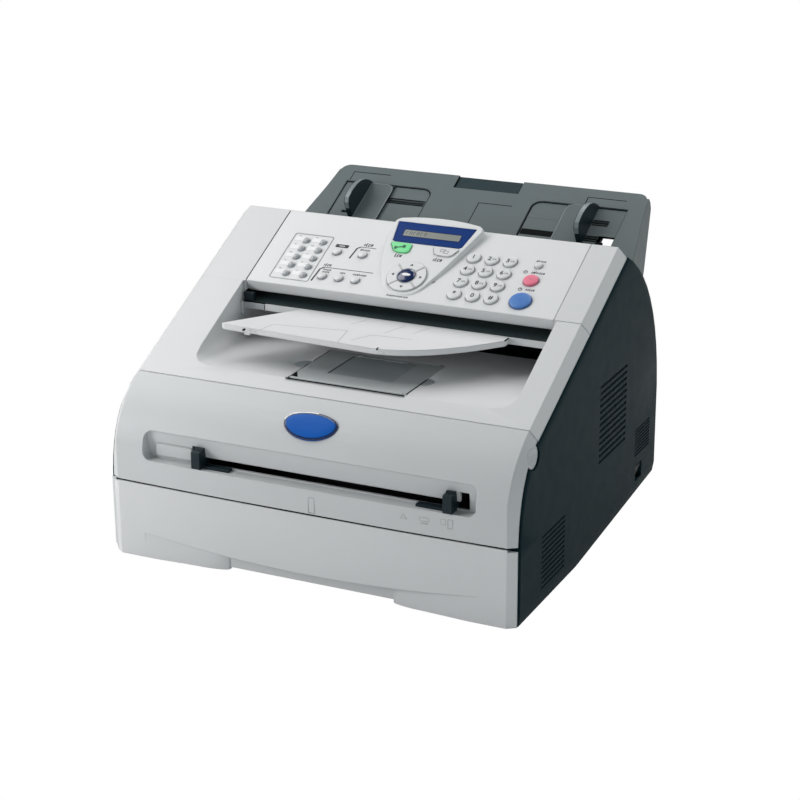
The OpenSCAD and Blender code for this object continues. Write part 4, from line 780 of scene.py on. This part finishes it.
# painted shade: a black sheet in the inlet's cup
bm = bmesh.new()
cup = [(145.6, 29.2), (166.4, 29.2), (166.4, 39.4), (162.6, 43.4), (149.4, 43.4), (145.6, 39.4)]
add_plate(bm, cup, -0.05, 0.05)
to_object("inlet_cup_shade", bm, SHADE, "machine", placed(0, INLET_Y + 0.35, 0, QUARTER_TURN))
for i, (x, z) in enumerate(((150.6, 33.4), (156.0, 37.6), (161.4, 33.4))):
    fitting("inlet_pin_%d" % i, GLINT_AND_PIN_GREY, (x - 1.0, INLET_Y + 0.4, z - 2.2), (x + 1.0, INLET_Y + 0.8, z + 2.2))
fitting("socket_face", MAT["guide_dark"], (SOCKET_X, 70.3, 40.3), (-184.9, 101.7, 53.7))
# painted shade in the sockets' holes and latch slots, with metal pins
for i, y in enumerate((72.4, 87.4)):
    for part, y0, z0, y1, z1 in (("hole", y, 42.0, y + 12.2, 51.8), ("latch", y + 3.6, 51.8, y + 8.6, 53.0)):
        fitting("socket_%s_%d" % (part, i), SHADE, (SOCKET_X - 0.1, y0, z0), (-185.2, y1, z1))
    for k in range(4):
        pin_y = y + 3.3 + 1.6 * k
        fitting("socket_pin_%d_%d" % (i, k), GLINT_AND_PIN_GREY, (SOCKET_X - 0.2, pin_y, 42.4), (-185.32, pin_y + 0.6, 45.4))


# ---------- document tray: painted shade in the channels and grooves, painted highlights on the guides' rims ---

CHANNEL = -1.2  # the channels' floor below the tray's face
TRACKS = ((40.6, 44.4), (61.6, 65.4))  # the two slots in each channel, measured down the tray
UPPER, LOWER = TRACKS


def channel(side):
    """A place in the left or right channel, mirrored: across from the middle and down from the top."""
    return lambda x, t: (side * x, -t)


def span(at, x0, t0, x1, t1):
    """A rectangle in a channel, between two places."""
    a, b = at(x0, t1), at(x1, t0)
    return rect(min(a[0], b[0]), min(a[1], b[1]), max(a[0], b[0]), max(a[1], b[1]))


def tray_prints(name, plates, mat, low, high):
    """Thin flat shapes on the document tray's fixed parts."""
    prints(name, plates, mat, ON_TRAY, "machine", low, high)


def corner_curve(at, start, rise):
    """The channel's rounded inner corner."""
    angles = [math.pi / 8 * k for k in range(1, 5)]
    return [at(start + 9 * (1 - math.cos(a)), 31.5 - rise * math.sin(a)) for a in angles]


for side in (-1, 1):
    at = channel(side)
    left = side < 0
    for k, ((t0, t1), reach) in enumerate(zip(TRACKS, (132.0, 132.0 if left else 127.0))):
        rail = span(at, 46.5, t0 - 7.5, reach, t1 + 1.5)
        tray_prints("track_shade_%d_%d" % (side, k), [rail], SHADE, -5.3, -5.1)
        bm = bmesh.new()
        ring_plate(bm, grown(rail, 0.8), rail, -5.5, -3.02)
        add_plate(bm, grown(rail, 0.8), -5.6, -5.32)
        to_object("track_cover_%d_%d" % (side, k), bm, MAT["guide_dark"], "machine", ON_TRAY)
        # painted shade on the slot's upper wall
        wall_shade = span(at, 52.2, t0 + 0.02, reach - 3.5, t0 + 0.2)
        tray_prints("track_wall_%d_%d" % (side, k), [wall_shade], SHADE, -3.0, CHANNEL - 0.01)
    # the slots that show get painted shade along their rims, drawn bold; the hidden ones get a thin lid
    bold = ((UPPER, 52.0, 128.5),) if left else ((LOWER, 52.0, 124.4), (UPPER, 113.5, 128.5))
    rim_shades = [span(at, x0, t, x1, t + 1.8) for (t0, t1), x0, x1 in bold for t in (t0 - 1.82, t1 + 0.02)]
    if not left:
        rim_shades.append(span(at, 51.6, LOWER[0], 106.0, LOWER[1]))
    tray_prints("track_rims_%d" % side, rim_shades, SHADE, CHANNEL + 0.01, CHANNEL + 0.08)
    hidden, x1 = (LOWER, 112.0) if left else (UPPER, 88.0)
    tray_prints("track_lid_%d" % side, [span(at, 51.4, hidden[0] - 0.7, x1, hidden[1] + 0.7)], MAT["tray_grey"],
                CHANNEL + 0.01, CHANNEL + 0.07)
    corner = [at(50.0, 22.4), at(50.0, 31.5)] + corner_curve(at, 50.3, 8.8) + [at(59.3, 22.4)]
    tray_prints("channel_corner_%d" % side, [corner], MAT["tray_grey"], CHANNEL + 0.01, -0.01)
    # painted shade: dark lines along the channel's edges, where its rim overhangs the floor
    outline = [at(50.6, 117.4), at(50.6, 31.5)] + corner_curve(at, 50.6, 8.6) + [at(140.0, 22.9)]
    edge = [bar_points(p, q, 1.7) for p, q in zip(outline, outline[1:])]
    tray_prints("channel_edge_%d" % side, edge, SHADE, CHANNEL - 0.02, CHANNEL + 0.06)
    edge = [bar_points(at(140.1, 24.0), at(140.1, 117.4), 0.7)]
    tray_prints("channel_side_%d" % side, edge, SHADE, CHANNEL - 0.02, CHANNEL + 0.06)
    # the document guide: a raised paddle beside its fin, with painted highlights on the paddle's rim and on the fin's
    # rolled rim
    guide, inner = ("document_guide_left", 113.0) if left else ("document_guide_right", 108.0)
    paddle = [at(inner - 0.4, 89.0), at(inner - 0.4, 25.0), at(inner - 17.0, 25.0), at(inner - 21.5, 27.0),
              at(inner - 23.2, 32.0), at(inner - 23.2, 89.0)]
    if not left:
        paddle = paddle[::-1]
    bm = bmesh.new()
    ring_plate(bm, paddle, grown(paddle, -1.0), 0.46, 1.5)
    to_object("guide_paddle_rim_%d" % side, bm, PADDLE_RIM_HIGHLIGHT, guide, ON_TRAY)
    prints("guide_paddle_%d" % side, [grown(paddle, -1.0)], MAT["tray_grey"], ON_TRAY, guide,
           0.46, 1.35)
    fin = bez((0, 0), (-51 / 4, 23), (-39, 23)) + [(-47, 22), (-50, 18), (-50.9, 12)]
    fin_y, fin_z, lift = -21.0, -1.05, 0.07
    bm = bmesh.new()
    for (u0, v0), (u1, v1) in zip(fin[2:], fin[3:]):
        k = Vector((u1 - u0, v1 - v0)).normalized()
        quad = [(side * x, fin_y + u + k.y * lift, fin_z + v - k.x * lift)
                for u, v, xs in ((u0, v0, (inner + 0.5, inner + 4.5)), (u1, v1, (inner + 4.5, inner + 0.5)))
                for x in xs]
        bm.faces.new([bm.verts.new((x * MM, y * MM, z * MM)) for x, y, z in quad])
    to_object("guide_fin_rim_%d" % side, bm, FIN_RIM_HIGHLIGHT, guide, ON_TRAY, smooth=True)
# painted shade: dark lines in the tray's grooves
groove_shades = [bar_points(a, b, 0.8) for a, b in (
    ((-138, -9.5), (-100, -9.5)), ((-138, -9.5), (-138, -21)), ((0, -34), (33, -34)), ((0, -34), (0, -118)),
    ((99, -11.5), (136, -11.5)), ((99, -11.5), (99, -20)))]
tray_prints("tray_groove_shades", groove_shades, SHADE, 0.01, 0.06)

# the extension's face in the notch, painted shade on the notch's wall and on the edges of the hole at the lower right
prints("extension_face", [rect(-31.4, -16.4, 31.4, -0.6)], EXTENSION, ON_TRAY, "tray_extension",
       -3.38, -1.1)
tray_prints("notch_shade", [rect(-32.45, -16.9, -31.7, -0.6)], SHADE, -3.2, -0.05)
tray_prints("hole_edge_shades", [rect(124.6, -59.6, 140.4, -58.7), rect(124.6, -69.5, 131.0, -66.8)], SHADE, -2.9, -1.25)


# ---------- louvre lips on the right side cover, with painted highlights ---

bm = bmesh.new()
for y0, y1, z0, count, pitch in ((-5.7, 60.9, 77.5, 13, 5.6), (-133.5, -83.0, 15.5, 11, 4.4),
                                 (88.0, 127.0, 51.0, 9, 3.0)):
    for i in range(count):
        z = z0 + i * pitch
        add_plate(bm, rect(184.9, y0 + 0.3, 186.3, y1 - 0.3), z - 0.30, z + 0.02)
to_object("louvre_lip_highlights_right", bm, LOUVRE_LIP_HIGHLIGHT, "machine")


# ---------- floor, lights and camera ----------

scene = bpy.context.scene
scene.view_settings.view_transform = "Standard"

bm = bmesh.new()
bmesh.ops.create_grid(bm, x_segments=2, y_segments=2, size=4.0)
mesh = bpy.data.meshes.new("floor")
bm.to_mesh(mesh)
bm.free()
floor = bpy.data.objects.new("floor", mesh)
scene.collection.objects.link(floor)
floor.location.z = -0.3 * MM


def maths(nt, operation, a, b):
    """A math node; b is a number or another socket."""
    n = nt.nodes.new("ShaderNodeMath")
    n.operation = operation
    nt.links.new(a, n.inputs[0])
    if isinstance(b, float):
        n.inputs[1].default_value = b
    else:
        nt.links.new(b, n.inputs[1])
    return n.outputs[0]


def coloured(nt, kind, colour, strength=None):
    """A shader of one colour."""
    n = nt.nodes.new(kind)
    n.inputs["Color"].default_value = (*colour, 1)
    if strength is not None:
        n.inputs["Strength"].default_value = strength
    return n.outputs[0]


def two_faced(nt, output, unseen, seen, glossy_share=0.0):
    """The seen shader for camera and transmission rays, the unseen one for the light on the machine."""
    out = nt.nodes.new(output)
    path = nt.nodes.new("ShaderNodeLightPath").outputs
    share = maths(nt, "MAXIMUM", path["Is Camera Ray"], path["Is Transmission Ray"])
    if glossy_share:
        share = maths(nt, "MAXIMUM", share, maths(nt, "MULTIPLY", path["Is Glossy Ray"], glossy_share))
    mix = nt.nodes.new("ShaderNodeMixShader")
    for socket, value in zip(mix.inputs, (share, unseen, seen)):
        nt.links.new(value, socket)
    nt.links.new(mix.outputs[0], out.inputs["Surface"])


WHITE = (1, 1, 1)
m = bpy.data.materials.new("floor_pale")
m.use_nodes = True
nt = m.node_tree
nt.nodes.clear()
two_faced(nt, "ShaderNodeOutputMaterial", coloured(nt, "ShaderNodeBsdfDiffuse", (0.86, 0.86, 0.86)),
          coloured(nt, "ShaderNodeEmission", WHITE), 0.2)
mesh.materials.append(m)

world = bpy.data.worlds.new("studio")
scene.world = world
world.use_nodes = True
nt = world.node_tree
nt.nodes.clear()
two_faced(nt, "ShaderNodeOutputWorld", coloured(nt, "ShaderNodeBackground", (0.86, 0.97, 1.0), 0.10),
          coloured(nt, "ShaderNodeBackground", WHITE, 1.0))


def area_light(name, place, target, size, power, colour=WHITE):
    """A rectangular light, aimed at target; metres and watts."""
    data = bpy.data.lights.new(name, "AREA")
    data.shape = "RECTANGLE"
    data.size, data.size_y = size
    data.energy = power
    data.color = colour
    o = bpy.data.objects.new(name, data)
    scene.collection.objects.link(o)
    o.location = place
    o.rotation_euler = (Vector(target) - Vector(place)).to_track_quat("-Z", "Y").to_euler()


area_light("left_key", (-1.1, -0.12, 1.3), (0, 0, 0.1), (1.2, 1.2), 17.2, (1.0, 0.985, 0.975))
area_light("front_fill", (1.1, -1.5, 0.5), (0, 0, 0.1), (0.7, 0.7), 4.3, (0.93, 0.98, 1.0))
area_light("top_rear", (0.6, 0.55, 1.45), (0.05, 0, 0.15), (0.8, 0.8), 7.0, (1.0, 0.985, 0.975))
area_light("near_left", (-0.75, -0.75, 0.45), (-0.1, -0.15, 0.1), (0.35, 0.35), 4.2)
area_light("side_soft", (1.7, -0.2, 0.7), (0, 0, 0.12), (0.8, 0.9), 2.0, (0.80, 0.98, 1.0))
area_light("rear_soft", (0, 1.1, 1.3), (0, 0, 0.15), (1.0, 0.6), 6.8)

# the camera, solved from the photo: metres, degrees, and a focal length in the photo's pixels
CAMERA_AT = (0.7208, -1.5053, 0.6980)
CAMERA_TURN = (25.63, 19.53, -0.37)
FOCAL_PX, PHOTO_PX, SENSOR = 2011.1, 800, 36.0

az, el, roll = (math.radians(a) for a in CAMERA_TURN)
back = Vector((math.sin(az) * math.cos(el), -math.cos(az) * math.cos(el), math.sin(el)))
level = Vector((math.cos(az), math.sin(az), 0))
rise = back.cross(level)
right = level * math.cos(roll) + rise * math.sin(roll)
up = rise * math.cos(roll) - level * math.sin(roll)
data = bpy.data.cameras.new("camera")
data.sensor_width = SENSOR
data.lens = FOCAL_PX / PHOTO_PX * SENSOR
data.clip_start, data.clip_end = 0.05, 20.0
cam = bpy.data.objects.new("camera", data)
scene.collection.objects.link(cam)
cam.matrix_world = Matrix([(right[i], up[i], back[i], CAMERA_AT[i]) for i in range(3)] + [(0, 0, 0, 1)])
scene.camera = cam
